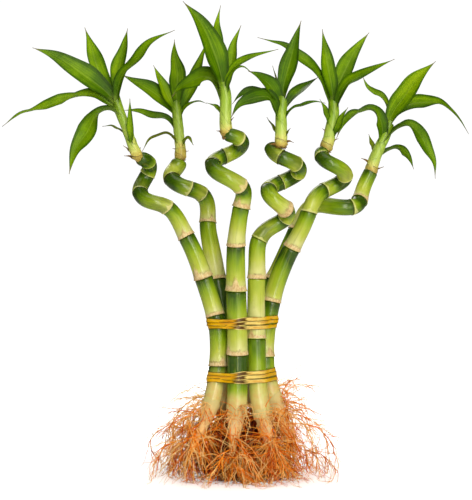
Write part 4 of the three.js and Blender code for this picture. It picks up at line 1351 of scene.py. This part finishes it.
def crown_bearing(stalk):
    x, y = np.array(stalk.line[1][:2]) * MM - ROOT_CENTRE[:2]
    return math.atan2(y, x)


def root_sector(stalk):
    """The bearings between which a stalk's roots spread, half way to its neighbours on both sides."""
    own = crown_bearing(stalk)
    turns = [(crown_bearing(other) - own) % FULL_TURN for other in STALKS if other is not stalk]
    return own - (FULL_TURN - max(turns)) / 2, own + min(turns) / 2


def root_reach(bearing):
    """How far the roots spread from their centre at a bearing, or at an array of them."""
    x, y = np.cos(bearing), np.sin(bearing)
    x_reach = np.where(x > 0, ROOT_SPREAD["right"], ROOT_SPREAD["left"])
    y_reach = np.where(y > 0, ROOT_SPREAD["back"], ROOT_SPREAD["front"])
    return 1 / np.hypot(x / x_reach, y / y_reach)


def outward_at(bearing):
    return np.array([math.cos(bearing), math.sin(bearing), 0])


def crown_radius(stalk, places):
    """Radius of a crown at places below its cane's foot, and of the cane over it."""
    share = np.clip((places + CROWN_BELOW) / (stalk.foot + CROWN_BELOW), 0, 1)
    crown = CROWN_END + (stalk.radii[0] * MM - CROWN_END) * share**1.5
    return np.where(places > stalk.foot, stalk.cane_radius(places), crown)


def crown_point(stalk, place, outward):
    """A point a little inside a crown, where a root starts."""
    centre = stalk.route.at(np.array([place]))[0][0]
    return centre + outward * (CROWN_DEPTH * float(crown_radius(stalk, place)))


def add_strand(piece, template, line, base, tip, tint, chance):
    """One root laid along a line, a little knobbly, with a radius at its base and one at its tip."""
    points, faces = template
    route = Route(line, start=ROOT_START)
    x, y, along = points.T
    knobs = 1 + 0.07 * np.sin(along * route.length / KNOB_LENGTH + chance.uniform(0, FULL_TURN))
    radius = (base + (tip - base) * along) * knobs
    laid = route.lay(np.column_stack([x * radius, y * radius, along * route.length]))
    laid[:, 2] = np.maximum(laid[:, 2], FLOOR_GAP)
    piece.add(laid, faces, strand=(tint, along, heap_shade(laid)))


def arch(start, leave, settle, end, swing, count, chance):
    """A root's line: a Bezier arch with a slight random wave, kept over the floor."""
    t = np.linspace(0, 1, count)[:, None]
    line = start * (1 - t) ** 3 + 3 * leave * t * (1 - t) ** 2 + 3 * settle * t**2 * (1 - t) + end * t**3
    turns = np.linalg.norm(end - start) / SWAY_LENGTH
    phase = chance.uniform(0, FULL_TURN, 3)
    sway = np.sin(turns * FULL_TURN * t + phase) + 0.4 * np.sin(2.7 * turns * FULL_TURN * t + 2 * phase)
    line = line + swing * smooth_step(t, 0, 0.4) * sway * chance.uniform(0.3, 1, 3)
    line[:, 2] = np.maximum(line[:, 2], LINE_GAP)
    away = line[:, :2] - ROOT_CENTRE[:2]
    beyond = np.maximum(np.linalg.norm(away, axis=1) / root_reach(np.arctan2(away[:, 1], away[:, 0])), 1)
    line[:, :2] = ROOT_CENTRE[:2] + away / beyond[:, None]
    return line


def main_root(stalk, bearing, chance):
    """A line out of the crown that arches outward and drops to the floor, or ends in the air."""
    outward = outward_at(bearing)
    bare = max(-outward[1], 0) * stalk.bare_crown
    start = crown_point(stalk, stalk.foot * chance.uniform(-0.25, 1 - 0.75 * bare), outward)
    reach = 0.2 + 0.32 * chance.uniform(0, 1) + 0.48 * chance.uniform(0, 1) ** 4.5
    end = ROOT_CENTRE + outward * root_reach(bearing) * reach
    end[2] = (0.6 + 46 * chance.uniform(0, 1) ** 5) * MM
    span = np.linalg.norm((end - start)[:2])
    leave = start + outward * span * chance.uniform(0.3, 0.75)
    leave[2] += chance.uniform(-0.3, 0.35) * start[2]
    settle = end + outward * span * chance.uniform(-0.1, 0.4)
    settle[2] += chance.uniform(0.3, 0.9) * max(start[2] - end[2], 8 * MM)
    return arch(start, leave, settle, end, MM, MAIN_POINTS, chance)


def fringe_root(stalk, low, high, chance):
    """A thin curling root from round the upper end of a crown, seldom from its front."""
    outward = outward_at(chance.uniform(low - 0.5, high + 0.5))
    shorter = 1 - 0.6 * max(-outward[1], 0)
    start = crown_point(stalk, stalk.foot + chance.triangular(-16, -4, 16) * MM * shorter, outward)
    reach = chance.uniform(7, 30) * MM * shorter
    end = start + outward * reach - UP * chance.uniform(-0.4, 1.1) * reach
    leave = start + outward * 0.6 * reach + UP * chance.uniform(-0.1, 0.5) * reach
    leave += chance.normal(0, 2, 3) * MM
    settle = end + UP * chance.uniform(0, 0.6) * reach + chance.normal(0, 3, 3) * MM
    return arch(start, leave, settle, end, MM, FRINGE_POINTS, chance)


def inner_root(stalk, chance):
    """A strand of the mat behind the crowns."""
    centre = stalk.route.line[0] + (ROOT_CENTRE - stalk.route.line[0]) * 0.6
    start = centre + np.append(chance.normal(0, 7, 2), 0) * MM
    start[2] = chance.uniform(12, 56) * MM
    end = start + np.append(chance.normal(0, 12, 2), chance.uniform(-26, 4)) * MM
    end[2] = max(end[2], LINE_GAP)
    middle = (start + end) / 2 + chance.normal(0, 4, 3) * MM
    return arch(start, middle, middle, end, 0.8 * MM, INNER_POINTS, chance)


def add_side_root(piece, line, look, thin, fine, chance):
    """A side root from somewhere along a line, with its fine roots."""
    last = len(line) - 1
    spot = int(chance.uniform(0.15, 0.97) * last)
    begin = line[spot]
    ahead = unit(line[min(spot + 1, last)] - line[max(spot - 1, 0)])
    away = unit(ahead + chance.normal(0, 0.5, 3) - UP * 0.2)
    length = chance.uniform(12, 38) * MM * (1.1 - 0.6 * spot / last)
    finish = begin + away * length
    finish[2] = max(finish[2] - 0.25 * length, chance.uniform(0.4, 2) * MM)
    bend = begin + (0.5 * away + 0.25 * ahead) * length
    side_line = arch(begin, begin + ahead * length * 0.3, bend, finish, 1.2 * MM, SIDE_POINTS, chance)
    tint = chance.choice(SIDE_TINTS) + chance.uniform(-0.1, 0.1)
    radius = look.side_radius * chance.uniform(0.6, 1.1)
    add_strand(piece, thin, side_line, radius, 0.4 * radius, tint, chance)
    for _ in range(look.hair_roots):
        begin = side_line[chance.integers(2, 8)]
        away = unit(chance.normal(0, 1, 3) + ahead * 0.5)
        length = chance.uniform(3, 10) * MM
        finish = begin + away * length
        finish[2] = max(finish[2], 0.4 * MM)
        middle = (begin + finish) / 2 + chance.normal(0, 1, 3) * 0.18 * length
        hair = arch(begin, middle, middle, finish, 0, FINE_POINTS, chance)
        add_strand(piece, fine, hair, look.hair_radius, 0.7 * look.hair_radius, tint + 0.15, chance)


def add_crown(piece, stalk, look):
    """The pale crown under the cane, which narrows downwards and laps over the cane's foot."""
    top = stalk.foot
    places = np.linspace(-CROWN_BELOW, top, CROWN_STATIONS)
    radii = crown_radius(stalk, places) + COLLAR_STANDS[0] * smooth_step(places, top - 7 * MM, top)
    ripples = np.sin(places / (1.1 * MM)) * np.sin(places / (2.7 * MM))
    radii += look.crown_ripple * ripples * (places < top - MM)
    collar = top + COLLAR_RISES
    profile = [(0, places[0]), *zip(radii, places)]
    profile += [*zip(stalk.cane_radius(collar) + COLLAR_STANDS, collar), (0, collar[-1])]
    shape, faces = turned_template(profile, CROWN_SIDES)
    x, y, z = shape.T
    angle = np.arctan2(y, x) + stalk.seed
    lumps = 0.05 * np.sin(3 * angle + z / (5 * MM)) + 0.03 * np.sin(5 * angle - z / (3.1 * MM))
    shape[:, :2] *= (1 + lumps * smooth_step(z, top + MM, top - 5 * MM))[:, None]
    ragged = 1.1 * np.sin(3 * angle) + 0.7 * np.sin(7 * angle) + 0.4 * np.sin(13 * angle)
    shape[:, 2] += ragged * MM * smooth_step(z, top - 3 * MM, top)
    piece.add(stalk.route.lay(shape), faces, 1, strand=(0, 1 - shape[:, 2] / top, 0))


def add_shaded_mat(piece, stalk):
    """The matted middle of a tuft, dark all over as painted shade, which shows only between its roots."""
    shape, faces = turned_template([(r * MM, z * MM) for r, z in MAT_PROFILE], MAT_SIDES)
    crown_end = stalk.route.line[0]
    foot, head = (crown_end + (ROOT_CENTRE - crown_end) * share for share in MAT_LEAN)
    angle = np.arctan2(shape[:, 1], shape[:, 0])
    shape[:, :2] *= (1 + 0.14 * np.sin(3 * angle + stalk.seed + shape[:, 2] / (6 * MM)))[:, None]
    rise = np.clip(shape[:, 2] / MAT_HEIGHT, 0, 1)[:, None]
    shape[:, :2] += foot[:2] + (head - foot)[:2] * rise
    shape[:, 2] = np.maximum(shape[:, 2], FLOOR_GAP)
    # at full depth, so that all of it takes the painted shade
    piece.add(shape, faces, strand=(0.1, 0, 1))


def root_tuft(stalk, look, templates, materials):
    chance = np.random.default_rng(stalk.seed + ROOT_SEED)
    thick, thin, fine = templates
    low, high = root_sector(stalk)
    piece = Piece(f"root_tuft_{stalk.name}")
    add_crown(piece, stalk, look)
    add_shaded_mat(piece, stalk)
    for order in range(look.roots):
        bearing = low + (high - low) * (order + chance.uniform(0, 1)) / look.roots
        line = main_root(stalk, bearing, chance)
        radius = look.root_radius * chance.uniform(0.55, 1.1)
        add_strand(piece, thick, line, radius, 0.4 * radius, chance.uniform(0.45, 1.25), chance)
        for _ in range(look.side_roots):
            add_side_root(piece, line, look, thin, fine, chance)
    for _ in range(look.fringe_roots):
        line = fringe_root(stalk, low, high, chance)
        if line[-1][1] < line[0][1] and chance.random() < 0.35:
            continue
        radius = look.side_radius * chance.uniform(0.6, 1.1)
        add_strand(piece, thin, line, radius, 0.5 * radius, chance.uniform(0.65, 1.4), chance)
        if chance.random() < 0.5:
            add_side_root(piece, line, look, thin, fine, chance)
    for _ in range(look.inner_roots):
        line = inner_root(stalk, chance)
        radius = look.side_radius
        add_strand(piece, thin, line, radius, 0.6 * radius, chance.uniform(0.1, 0.7), chance)
    return piece.finish(materials, "root", [f"roots_{stalk.name}"], crease=80)


# Gold ties

RIBBON_GRID = (4, 420)
TIE_HEIGHTS = {"upper": 124.3 * MM, "lower": 82.2 * MM}
TIE_BACK = 0.56 * math.pi
# points in each turn of the route round the canes, then even steps along it
TURN_STATIONS = 90
RIBBON_STEP = 1.5 * MM
RIBBON_EASING = 2
# spots in each turn at which the ribbon tilts and changes its width, and the length of its crimps
TURN_SPOTS = 24
CRIMP_LENGTH = 1.9 * MM
RIBBON_TILT = 0.45
RIBBON_WIDENING = (-0.16, 0.1)
# the twisted ends: where they start off the canes, how far out and down they reach, and how much they turn
TWIST_START = 1.2 * MM
TWIST_LENGTH = 11 * MM
TWIST_DROP = 10 * MM
TWIST_SPIN = 3.2 * math.pi
TWIST_WIDTH = 0.42
# the knot: where it starts, its bulge, how far it reaches past the turns and half its width
KNOT_START = 1.1 * MM
KNOT_BULGE = 0.5 * MM
KNOT_BEYOND = 3 * MM
KNOT_HALF = 1.4 * MM
# for the finish: the length along the ribbon that counts as 1, and numbers that set its parts' creases apart
PATTERN_LENGTH = 6 * MM
TURN_MARK = 3
TWIST_MARK = 40
KNOT_MARK = 50


def canes_at(height):
    """The centre and radius of each cane where it passes a height, in its straight lower half."""
    canes = []
    for stalk in STALKS:
        route = stalk.route
        half = len(route.line) // 2
        place = np.interp(height, route.line[:half, 2], route.reach[:half])
        centre, tangent, _, _ = route.at(np.array([place]))
        radius = (stalk.cane_radius(place) + ring_rise(stalk, place)) / tangent[0][2]
        canes.append((centre[0], radius))
    return canes


def band_point(bearing, height, proud):
    """The inner point of a band drawn tight round the canes, at a bearing."""
    outward = outward_at(bearing)
    centre, radius = max(canes_at(height), key=lambda cane: cane[0] @ outward + cane[1])
    point = centre + outward * (radius + proud)
    point[2] = height
    return point, outward


def band_route(middle, look):
    """The route of a ribbon in turns round the canes, with its outer face outwards."""
    points, outwards = [], []
    for station in range(look.turns * TURN_STATIONS + 1):
        turn = station / TURN_STATIONS
        bearing = TIE_BACK + turn * FULL_TURN
        height = middle + (turn - look.turns / 2) * look.pitch
        height += look.stray * math.sin(1.7 * bearing + 1.9 * turn) * math.sin(0.31 * bearing)
        every_other = station // TURN_STATIONS % 2
        point, outward = band_point(bearing, height, look.clearance + look.overlap * every_other)
        points.append(point)
        outwards.append(outward)
    line, outwards = np.array(points), np.array(outwards)
    reach = reach_along(line)
    even = np.linspace(0, reach[-1], round(reach[-1] / RIBBON_STEP))
    outwards = pick(even, reach, outwards)
    line = worn(pick(even, reach, line), RIBBON_EASING)
    return Route(line, lambda route: square_to(route.tangent, outwards))


def gold_tie(name, middle, look, strip, material):
    chance = np.random.default_rng(len(name) + round(middle / MM))
    piece = Piece(f"gold_tie_{name}")
    route = band_route(middle, look)
    shape, faces = strip
    side, below, along = shape.T
    spots = np.linspace(0, 1, look.turns * TURN_SPOTS)
    tilt = np.interp(along, spots, chance.uniform(-RIBBON_TILT, RIBBON_TILT, len(spots)))
    half = look.width / 2 * (1 + np.interp(along, spots, chance.uniform(*RIBBON_WIDENING, len(spots))))
    crimp = look.crimp * np.sin(along * route.length / CRIMP_LENGTH + 3 * np.sin(along * 60)) * side
    height = side * half * np.sin(tilt) + crimp + (below + 1) * look.thickness
    laid = route.lay(np.column_stack([side * half * np.cos(tilt), height, along * route.length]))
    turn = np.floor(along * look.turns) * TURN_MARK
    piece.add(laid, faces, ribbon=(side, along * route.length / PATTERN_LENGTH, turn))
    add_twist(piece, middle, look, strip)
    return piece.finish([material], "gold_tie", [f"tie_{name}"], crease=40)


def add_twist(piece, middle, look, strip):
    """The ribbon's two ends, twisted together and bent down at the back, under a knot."""
    shape, faces = strip
    side, below, along = shape.T
    point, outward = band_point(TIE_BACK, middle, look.clearance)
    sideways = np.cross(UP, outward)
    for half in (0, 1):
        spin = half * math.pi / 2 + along * TWIST_SPIN
        flat = side * look.width * TWIST_WIDTH * (1 - 0.2 * along)
        thick = below * look.thickness
        laid = point + outward * (TWIST_START + TWIST_LENGTH * along[:, None])
        laid[:, 2] -= TWIST_DROP * along**2
        laid = laid + sideways * (flat * np.cos(spin) - thick * np.sin(spin))[:, None]
        laid = laid + UP * (flat * np.sin(spin) + thick * np.cos(spin))[:, None]
        piece.add(laid, faces, ribbon=(side, along * 3, TWIST_MARK + half))
    # the knot: a short bar of ribbon across the turns
    t = along - 0.5
    reach = (look.turns * look.pitch + KNOT_BEYOND) * t
    stand = KNOT_START + (below + 1) * look.thickness + KNOT_BULGE * np.cos(t * math.pi)
    laid = point + outward * stand[:, None] + sideways * (side * KNOT_HALF)[:, None] + UP * reach[:, None]
    piece.add(laid, faces, ribbon=(side, t * 2, KNOT_MARK))


# Sizes and colours that a user would change


def paint(name, description, code):
    return bpy.props.FloatVectorProperty(
        name=name, description=description, default=colour(code), size=4, min=0, max=1, subtype="COLOR"
    )


def size(name, description, millimetres):
    return bpy.props.FloatProperty(
        name=name, description=description, default=millimetres * MM, precision=5, unit="LENGTH"
    )


def share(name, description, default):
    return bpy.props.FloatProperty(
        name=name, description=description, default=default, min=0, max=1, subtype="FACTOR"
    )


def number(name, description, default):
    return bpy.props.IntProperty(name=name, description=description, default=default, min=0)


def power(name, description, default):
    return bpy.props.FloatProperty(name=name, description=description, default=default, min=0, unit="POWER")


class CaneSizes(bpy.types.PropertyGroup):
    rounding: size("Rounding", "Rounding of a cane's ends", 0.5)
    foot_height: size("Foot Height", "How far up a cane its pale foot reaches", 30)
    bud_swell: size("Bud Swell", "How far a bud stands out over its ring", 0.7)
    ring_slant: size("Ring Slant", "How far a ring leans out of level", 0.9)
    band_height: size("Band Height", "Height of the papery band over a ring", 3.4)
    bud_height: size("Bud Height", "Extra height of the papery band at a bud", 6.2)
    gloss: share("Roughness", "Roughness of the green skin", 0.17)
    dark_green: paint("Dark Green", "Skin just under a ring", "#365603")
    mid_green: paint("Mid Green", "Skin of the upper part of a joint", "#66890a")
    light_green: paint("Light Green", "Skin of the middle of a joint", "#95b11a")
    yellow_green: paint("Yellow Green", "Skin of the lower part of a joint", "#c0cc48")
    pale_yellow: paint("Pale Yellow", "Skin just over a ring", "#dede8a")
    ring_brown: paint("Ring Brown", "Dark flecks of the papery band", "#8e6234")
    ring_tan: paint("Ring Tan", "Papery band", "#dab078")
    ring_pale: paint("Ring Pale", "Pale flecks of the papery band", "#f2d6a2")
    ring_cream: paint("Ring Cream", "Palest flecks of the papery band", "#fbeccb")
    ring_shadow: paint("Ring Shadow", "Thin line under a ring", "#38280c")
    foot_tan: paint("Foot Tan", "Pale foot of a cane", "#e2bc70")


class ShootSizes(bpy.types.PropertyGroup):
    leaf_thickness: size("Leaf Thickness", "Thickness of a leaf at its midrib", 0.55)
    edge_wave: size("Edge Wave", "How far a leaf's edges wave", 0.85)
    edge_ripple: share("Edge Ripple", "How much a leaf's breadth varies along it", 0.08)
    sheath_thickness: size("Sheath Thickness", "How far a sheath stands proud of the stem", 0.75)
    foot_swell: size("Foot Swell", "How much a stem swells at its foot", 0.6)
    fold: share("Fold", "How deeply a leaf folds along its midrib", 0.34)
    gloss: share("Roughness", "Roughness of a leaf's upper face", 0.32)
    shade_green: paint("Shade Green", "Darkest streaks of a leaf", "#2a4a02")
    deep_green: paint("Deep Green", "Edges and dark streaks of a leaf", "#487000")
    leaf_green: paint("Leaf Green", "Main green of a leaf", "#7aa002")
    bright_green: paint("Bright Green", "Bright streaks of a leaf", "#b2cc18")
    under_green: paint("Under Green", "Underside of a leaf", "#86a23e")
    stem_green: paint("Stem Green", "Pale green of stems and midribs", "#bed65c")
    stem_top: paint("Stem Top", "Green of a stem's upper part", "#9cc036")
    stem_yellow: paint("Stem Yellow", "Pale yellow of a stem's lower part", "#dcdc70")
    stem_tan: paint("Stem Tan", "Tan over a stem's foot", "#d2bc54")
    stem_ochre: paint("Stem Ochre", "Ochre of a stem's foot", "#c2a446")
    tip_brown: paint("Tip Brown", "Dry tip of a leaf", "#7d6a4c")
    dry_tan: paint("Dry Tan", "Light streaks of a dry sheath", "#ba984c")
    dry_dark: paint("Dry Dark", "Dark streaks of a dry sheath", "#5e3e1c")


class RootSizes(bpy.types.PropertyGroup):
    roots: number("Roots", "Main roots of a tuft", 36)
    side_roots: number("Side Roots", "Side roots on each main root", 17)
    hair_roots: number("Hair Roots", "Fine roots on each side root", 1)
    fringe_roots: number("Fringe Roots", "Thin curling roots round the upper end of a crown", 52)
    inner_roots: number("Inner Roots", "Strands of the mat behind the crowns", 90)
    root_radius: size("Root Radius", "Radius of a main root at its crown", 0.56)
    side_radius: size("Side Radius", "Radius of a side root", 0.34)
    hair_radius: size("Hair Radius", "Radius of a fine root", 0.2)
    crown_ripple: size("Crown Ripple", "Height of the ripples round a crown", 0.3)
    root_roughness: share("Root Roughness", "Roughness of the roots", 0.5)
    crown_top: paint("Crown Top", "Skin of a crown just under its cane", "#dccc86")
    crown_roughness: share("Crown Roughness", "Roughness of the crowns", 0.6)
    # also the painted shade of the gaps and of strands deep in the heap
    root_dark_and_shade: paint("Root Dark And Shade", "Gaps between the roots", "#3c1404")
    root_red: paint("Root Red", "Darkest roots", "#d05000")
    root_orange: paint("Root Orange", "Most of the side roots", "#ff8412")
    root_gold: paint("Root Gold", "Lighter roots", "#ffaa34")
    root_straw: paint("Root Straw", "Palest roots", "#ffd488")
    crown_brown: paint("Crown Brown", "Scars of a crown", "#a66e34")
    crown_pale: paint("Crown Pale", "Main colour of a crown", "#ecd094")
    crown_cream: paint("Crown Cream", "Palest part of a crown", "#faeec6")


class TieSizes(bpy.types.PropertyGroup):
    turns: number("Turns", "Turns of ribbon round the canes", 3)
    pitch: size("Pitch", "Rise of one turn", 2.9)
    width: size("Width", "Width of the ribbon", 3.5)
    thickness: size("Thickness", "Thickness of the ribbon", 0.3)
    clearance: size("Clearance", "Gap between the ribbon and the canes", 0.45)
    overlap: size("Overlap", "How far every other turn stands out", 0.45)
    stray: size("Stray", "How far the turns stray up and down", 0.7)
    crimp: size("Crimp", "Depth of the ribbon's crimped edges", 0.08)
    gloss: share("Roughness", "Roughness of the foil", 0.25)
    # the foil's dark brown and cream are painted reflections, its pale creases painted glints and its deep
    # creases painted shade
    reflection_span: size("Reflection Span", "Width over which the foil goes from gold to brown to cream", 60)
    gold_dark: paint("Gold Dark", "Shaded edges of the foil", "#3e2600")
    gold_dark_reflection: paint("Gold Dark Reflection", "Foil at the front", "#5c3e00")
    gold_crease_shade: paint("Gold Crease Shade", "Foil in its creases", "#dc8a04")
    gold_bright: paint("Gold Bright", "Main colour of the foil", "#ffc606")
    gold_glint: paint("Gold Glint", "Pale creases of the foil", "#ffe27a")


class StageSizes(bpy.types.PropertyGroup):
    floor_radius: size("Floor Radius", "Radius of the round floor", 4000)
    camera_distance: size("Camera Distance", "Distance of the camera from the object", 1050)
    camera_height: size("Camera Height", "Height of the camera over the floor", 182)
    shadow_radius: size("Shadow Radius", "How far from the object the floor starts to glow", 95)
    key_power: power("Key Power", "Soft light from the front", 12.5)
    left_power: power("Left Power", "Soft light from the left", 0.5)
    right_power: power("Right Power", "Soft light from the right", 4)
    top_power: power("Top Power", "Wide light from above", 4.5)
    back_power: power("Back Power", "Wide light from behind and above", 7)
    surround: share("Surround", "Strength of the light from all round", 0.06)
    floor_white: paint("Floor White", "Colour of the floor under the object", "#f6f4f2")
    sky_white: paint("Sky White", "Colour of the background", "#ffffff")


# Operators

FLOOR_SIDES = 128
LIGHT_AIM = np.array([0, 0, 0.16])
LIGHT_TINT = (1.0, 0.96, 0.88)
# each light's name, place, width, height and power
LIGHTS = [
    ("key light", (0.22, -1.3, 0.55), 0.34, 1.3, "key_power"),
    ("left light", (-1.1, -0.75, 0.35), 0.2, 0.8, "left_power"),
    ("right light", (0.85, -1.15, 0.35), 0.4, 0.9, "right_power"),
    ("top light", (0.0, -0.2, 1.3), 1.0, 0.8, "top_power"),
    ("back light", (-0.3, 1.2, 1.2), 1.0, 0.7, "back_power"),
]
SKY_STRENGTH = 1.05
CAMERA_SENSOR = 36
CAMERA_LENS = 94.5


class LUCKY_OT_canes(bpy.types.Operator):
    """Model the six ringed canes"""

    bl_idname = "lucky_bamboo.canes"
    bl_label = "Ringed Canes"

    def execute(self, context):
        look = context.scene.lucky_canes
        material = cane_finish(look)
        for stalk in STALKS:
            ringed_cane(stalk, look, material)
        return {"FINISHED"}


class LUCKY_OT_shoots(bpy.types.Operator):
    """Model the six leafy shoots"""

    bl_idname = "lucky_bamboo.shoots"
    bl_label = "Leafy Shoots"

    def execute(self, context):
        look = context.scene.lucky_shoots
        templates = (
            rod_template(*STEM_GRID),
            strip_template(*BLADE_GRID),
            strip_template(*SHEATH_GRID),
        )
        materials = [stem_finish(look), leaf_finish(look)]
        for stalk in STALKS:
            leafy_shoot(stalk, look, templates, materials)
        return {"FINISHED"}


class LUCKY_OT_dry_sheaths(bpy.types.Operator):
    """Model the brown stubs of old sheaths at the foot of each shoot"""

    bl_idname = "lucky_bamboo.dry_sheaths"
    bl_label = "Dry Sheaths"

    def execute(self, context):
        look = context.scene.lucky_shoots
        templates = (strip_template(*STUB_GRID), strip_template(*RAGGED_SHEATH_GRID))
        materials = [bpy.data.materials["pale stem"], bpy.data.materials["green leaf"]]
        for stalk in STALKS:
            dry_sheath(stalk, look, templates, materials)
        return {"FINISHED"}


class LUCKY_OT_roots(bpy.types.Operator):
    """Model the six tufts of wiry roots"""

    bl_idname = "lucky_bamboo.roots"
    bl_label = "Root Tufts"

    def execute(self, context):
        look = context.scene.lucky_roots
        grids = (THICK_ROOT_GRID, THIN_ROOT_GRID, FINE_ROOT_GRID)
        templates = [rod_template(*grid) for grid in grids]
        materials = [root_finish(look), crown_finish(look)]
        for stalk in STALKS:
            root_tuft(stalk, look, templates, materials)
        return {"FINISHED"}


class LUCKY_OT_ties(bpy.types.Operator):
    """Model the two gold ribbon ties"""

    bl_idname = "lucky_bamboo.ties"
    bl_label = "Gold Ties"

    def execute(self, context):
        look = context.scene.lucky_ties
        strip = strip_template(*RIBBON_GRID)
        material = gold_finish(look)
        for name, middle in TIE_HEIGHTS.items():
            gold_tie(name, middle, look, strip, material)
        return {"FINISHED"}


class LUCKY_OT_stage(bpy.types.Operator):
    """Set the white floor, the soft lights and the camera"""

    bl_idname = "lucky_bamboo.stage"
    bl_label = "Stage"

    def execute(self, context):
        look = context.scene.lucky_stage
        bpy.ops.object.select_all(action="DESELECT")
        bpy.ops.mesh.primitive_circle_add(vertices=FLOOR_SIDES, radius=look.floor_radius, fill_type="NGON")
        floor = context.object
        floor.name = "white_floor"
        floor.data.materials.append(floor_finish(look))
        for name, place, width, height, watts in LIGHTS:
            soft_light(name, place, width, height, getattr(look, watts))
        white_world(look)
        add_camera(context, look)
        context.scene.view_settings.view_transform = "Standard"
        return {"FINISHED"}


def floor_finish(look):
    """White that glows to the camera away from the object, so that only its shadow shows."""
    f = Finish("white floor")
    spot = f.spot()
    seen = f.node("ShaderNodeLightPath").outputs["Is Camera Ray"]
    away = f.node("ShaderNodeVectorMath", {0: spot}, operation="LENGTH").outputs["Value"]
    away = f.scaled(f.noise(spot, 4.0, 2.0), 0.04, away)
    glow = f.scaled(f.step(away, 0.6 * look.shadow_radius, 2.4 * look.shadow_radius), 0.6, 0.5)
    pale = f.mix(f.step(away, 0.0, look.shadow_radius), look.floor_white, look.sky_white)
    glow = f.times(glow, seen)
    return f.show(Base_Color=pale, Roughness=0.9, Emission_Color=look.sky_white, Emission_Strength=glow)


def soft_light(name, place, width, height, watts):
    bpy.ops.object.light_add(type="AREA", location=place)
    light = bpy.context.object
    light.name = name
    light.data.shape = "RECTANGLE"
    light.data.size = width
    light.data.size_y = height
    light.data.energy = watts
    light.data.color = LIGHT_TINT
    aim = LIGHT_AIM - np.array(place)
    tilt = math.atan2(math.hypot(aim[0], aim[1]), -aim[2])
    light.rotation_euler = (tilt, 0, math.atan2(-aim[0], aim[1]))


def white_world(look):
    """White to the camera, and a dimmer grey to everything else."""
    world = bpy.context.scene.world or bpy.data.worlds.new("white room")
    bpy.context.scene.world = world
    world.use_nodes = True
    tree = world.node_tree
    lit = tree.nodes["Background"]
    seen = tree.nodes.new("ShaderNodeBackground")
    choose = tree.nodes.new("ShaderNodeMixShader")
    ray = tree.nodes.new("ShaderNodeLightPath")
    lit.inputs["Color"].default_value = look.sky_white
    lit.inputs["Strength"].default_value = look.surround
    seen.inputs["Color"].default_value = look.sky_white
    seen.inputs["Strength"].default_value = SKY_STRENGTH
    tree.links.new(ray.outputs["Is Camera Ray"], choose.inputs[0])
    tree.links.new(lit.outputs[0], choose.inputs[1])
    tree.links.new(seen.outputs[0], choose.inputs[2])
    tree.links.new(choose.outputs[0], tree.nodes["World Output"].inputs["Surface"])


def add_camera(context, look):
    place = (0, -look.camera_distance, look.camera_height)
    bpy.ops.object.camera_add(location=place, rotation=(math.pi / 2, 0, 0))
    camera = context.object
    camera.data.sensor_width = CAMERA_SENSOR
    camera.data.lens = CAMERA_LENS
    context.scene.camera = camera


class VIEW3D_PT_lucky_bamboo(bpy.types.Panel):
    """Lists the operators with their sizes and colours"""

    bl_idname = "VIEW3D_PT_lucky_bamboo"
    bl_label = "Lucky Bamboo"
    bl_space_type = "VIEW_3D"
    bl_region_type = "UI"
    bl_category = "Lucky Bamboo"

    def draw(self, context):
        for operator, settings in GROUPS:
            box = self.layout.box()
            box.operator(operator.bl_idname)
            if settings:
                for name in SETTINGS[settings].__annotations__:
                    box.prop(getattr(context.scene, settings), name)


SETTINGS = {
    "lucky_canes": CaneSizes,
    "lucky_shoots": ShootSizes,
    "lucky_roots": RootSizes,
    "lucky_ties": TieSizes,
    "lucky_stage": StageSizes,
}

GROUPS = [
    (LUCKY_OT_canes, "lucky_canes"),
    (LUCKY_OT_shoots, "lucky_shoots"),
    (LUCKY_OT_dry_sheaths, None),
    (LUCKY_OT_roots, "lucky_roots"),
    (LUCKY_OT_ties, "lucky_ties"),
    (LUCKY_OT_stage, "lucky_stage"),
]

CLASSES = [*SETTINGS.values(), *(operator for operator, _ in GROUPS), VIEW3D_PT_lucky_bamboo]


def register():
    for kind in CLASSES:
        bpy.utils.register_class(kind)
    for name, kind in SETTINGS.items():
        setattr(bpy.types.Scene, name, bpy.props.PointerProperty(type=kind))


def unregister():
    for name in SETTINGS:
        delattr(bpy.types.Scene, name)
    for kind in reversed(CLASSES):
        bpy.utils.unregister_class(kind)


def main():
    register()
    bpy.ops.lucky_bamboo.canes()
    bpy.ops.lucky_bamboo.shoots()
    bpy.ops.lucky_bamboo.dry_sheaths()
    bpy.ops.lucky_bamboo.roots()
    bpy.ops.lucky_bamboo.ties()
    bpy.ops.lucky_bamboo.stage()


if __name__ == "__main__":
    main()
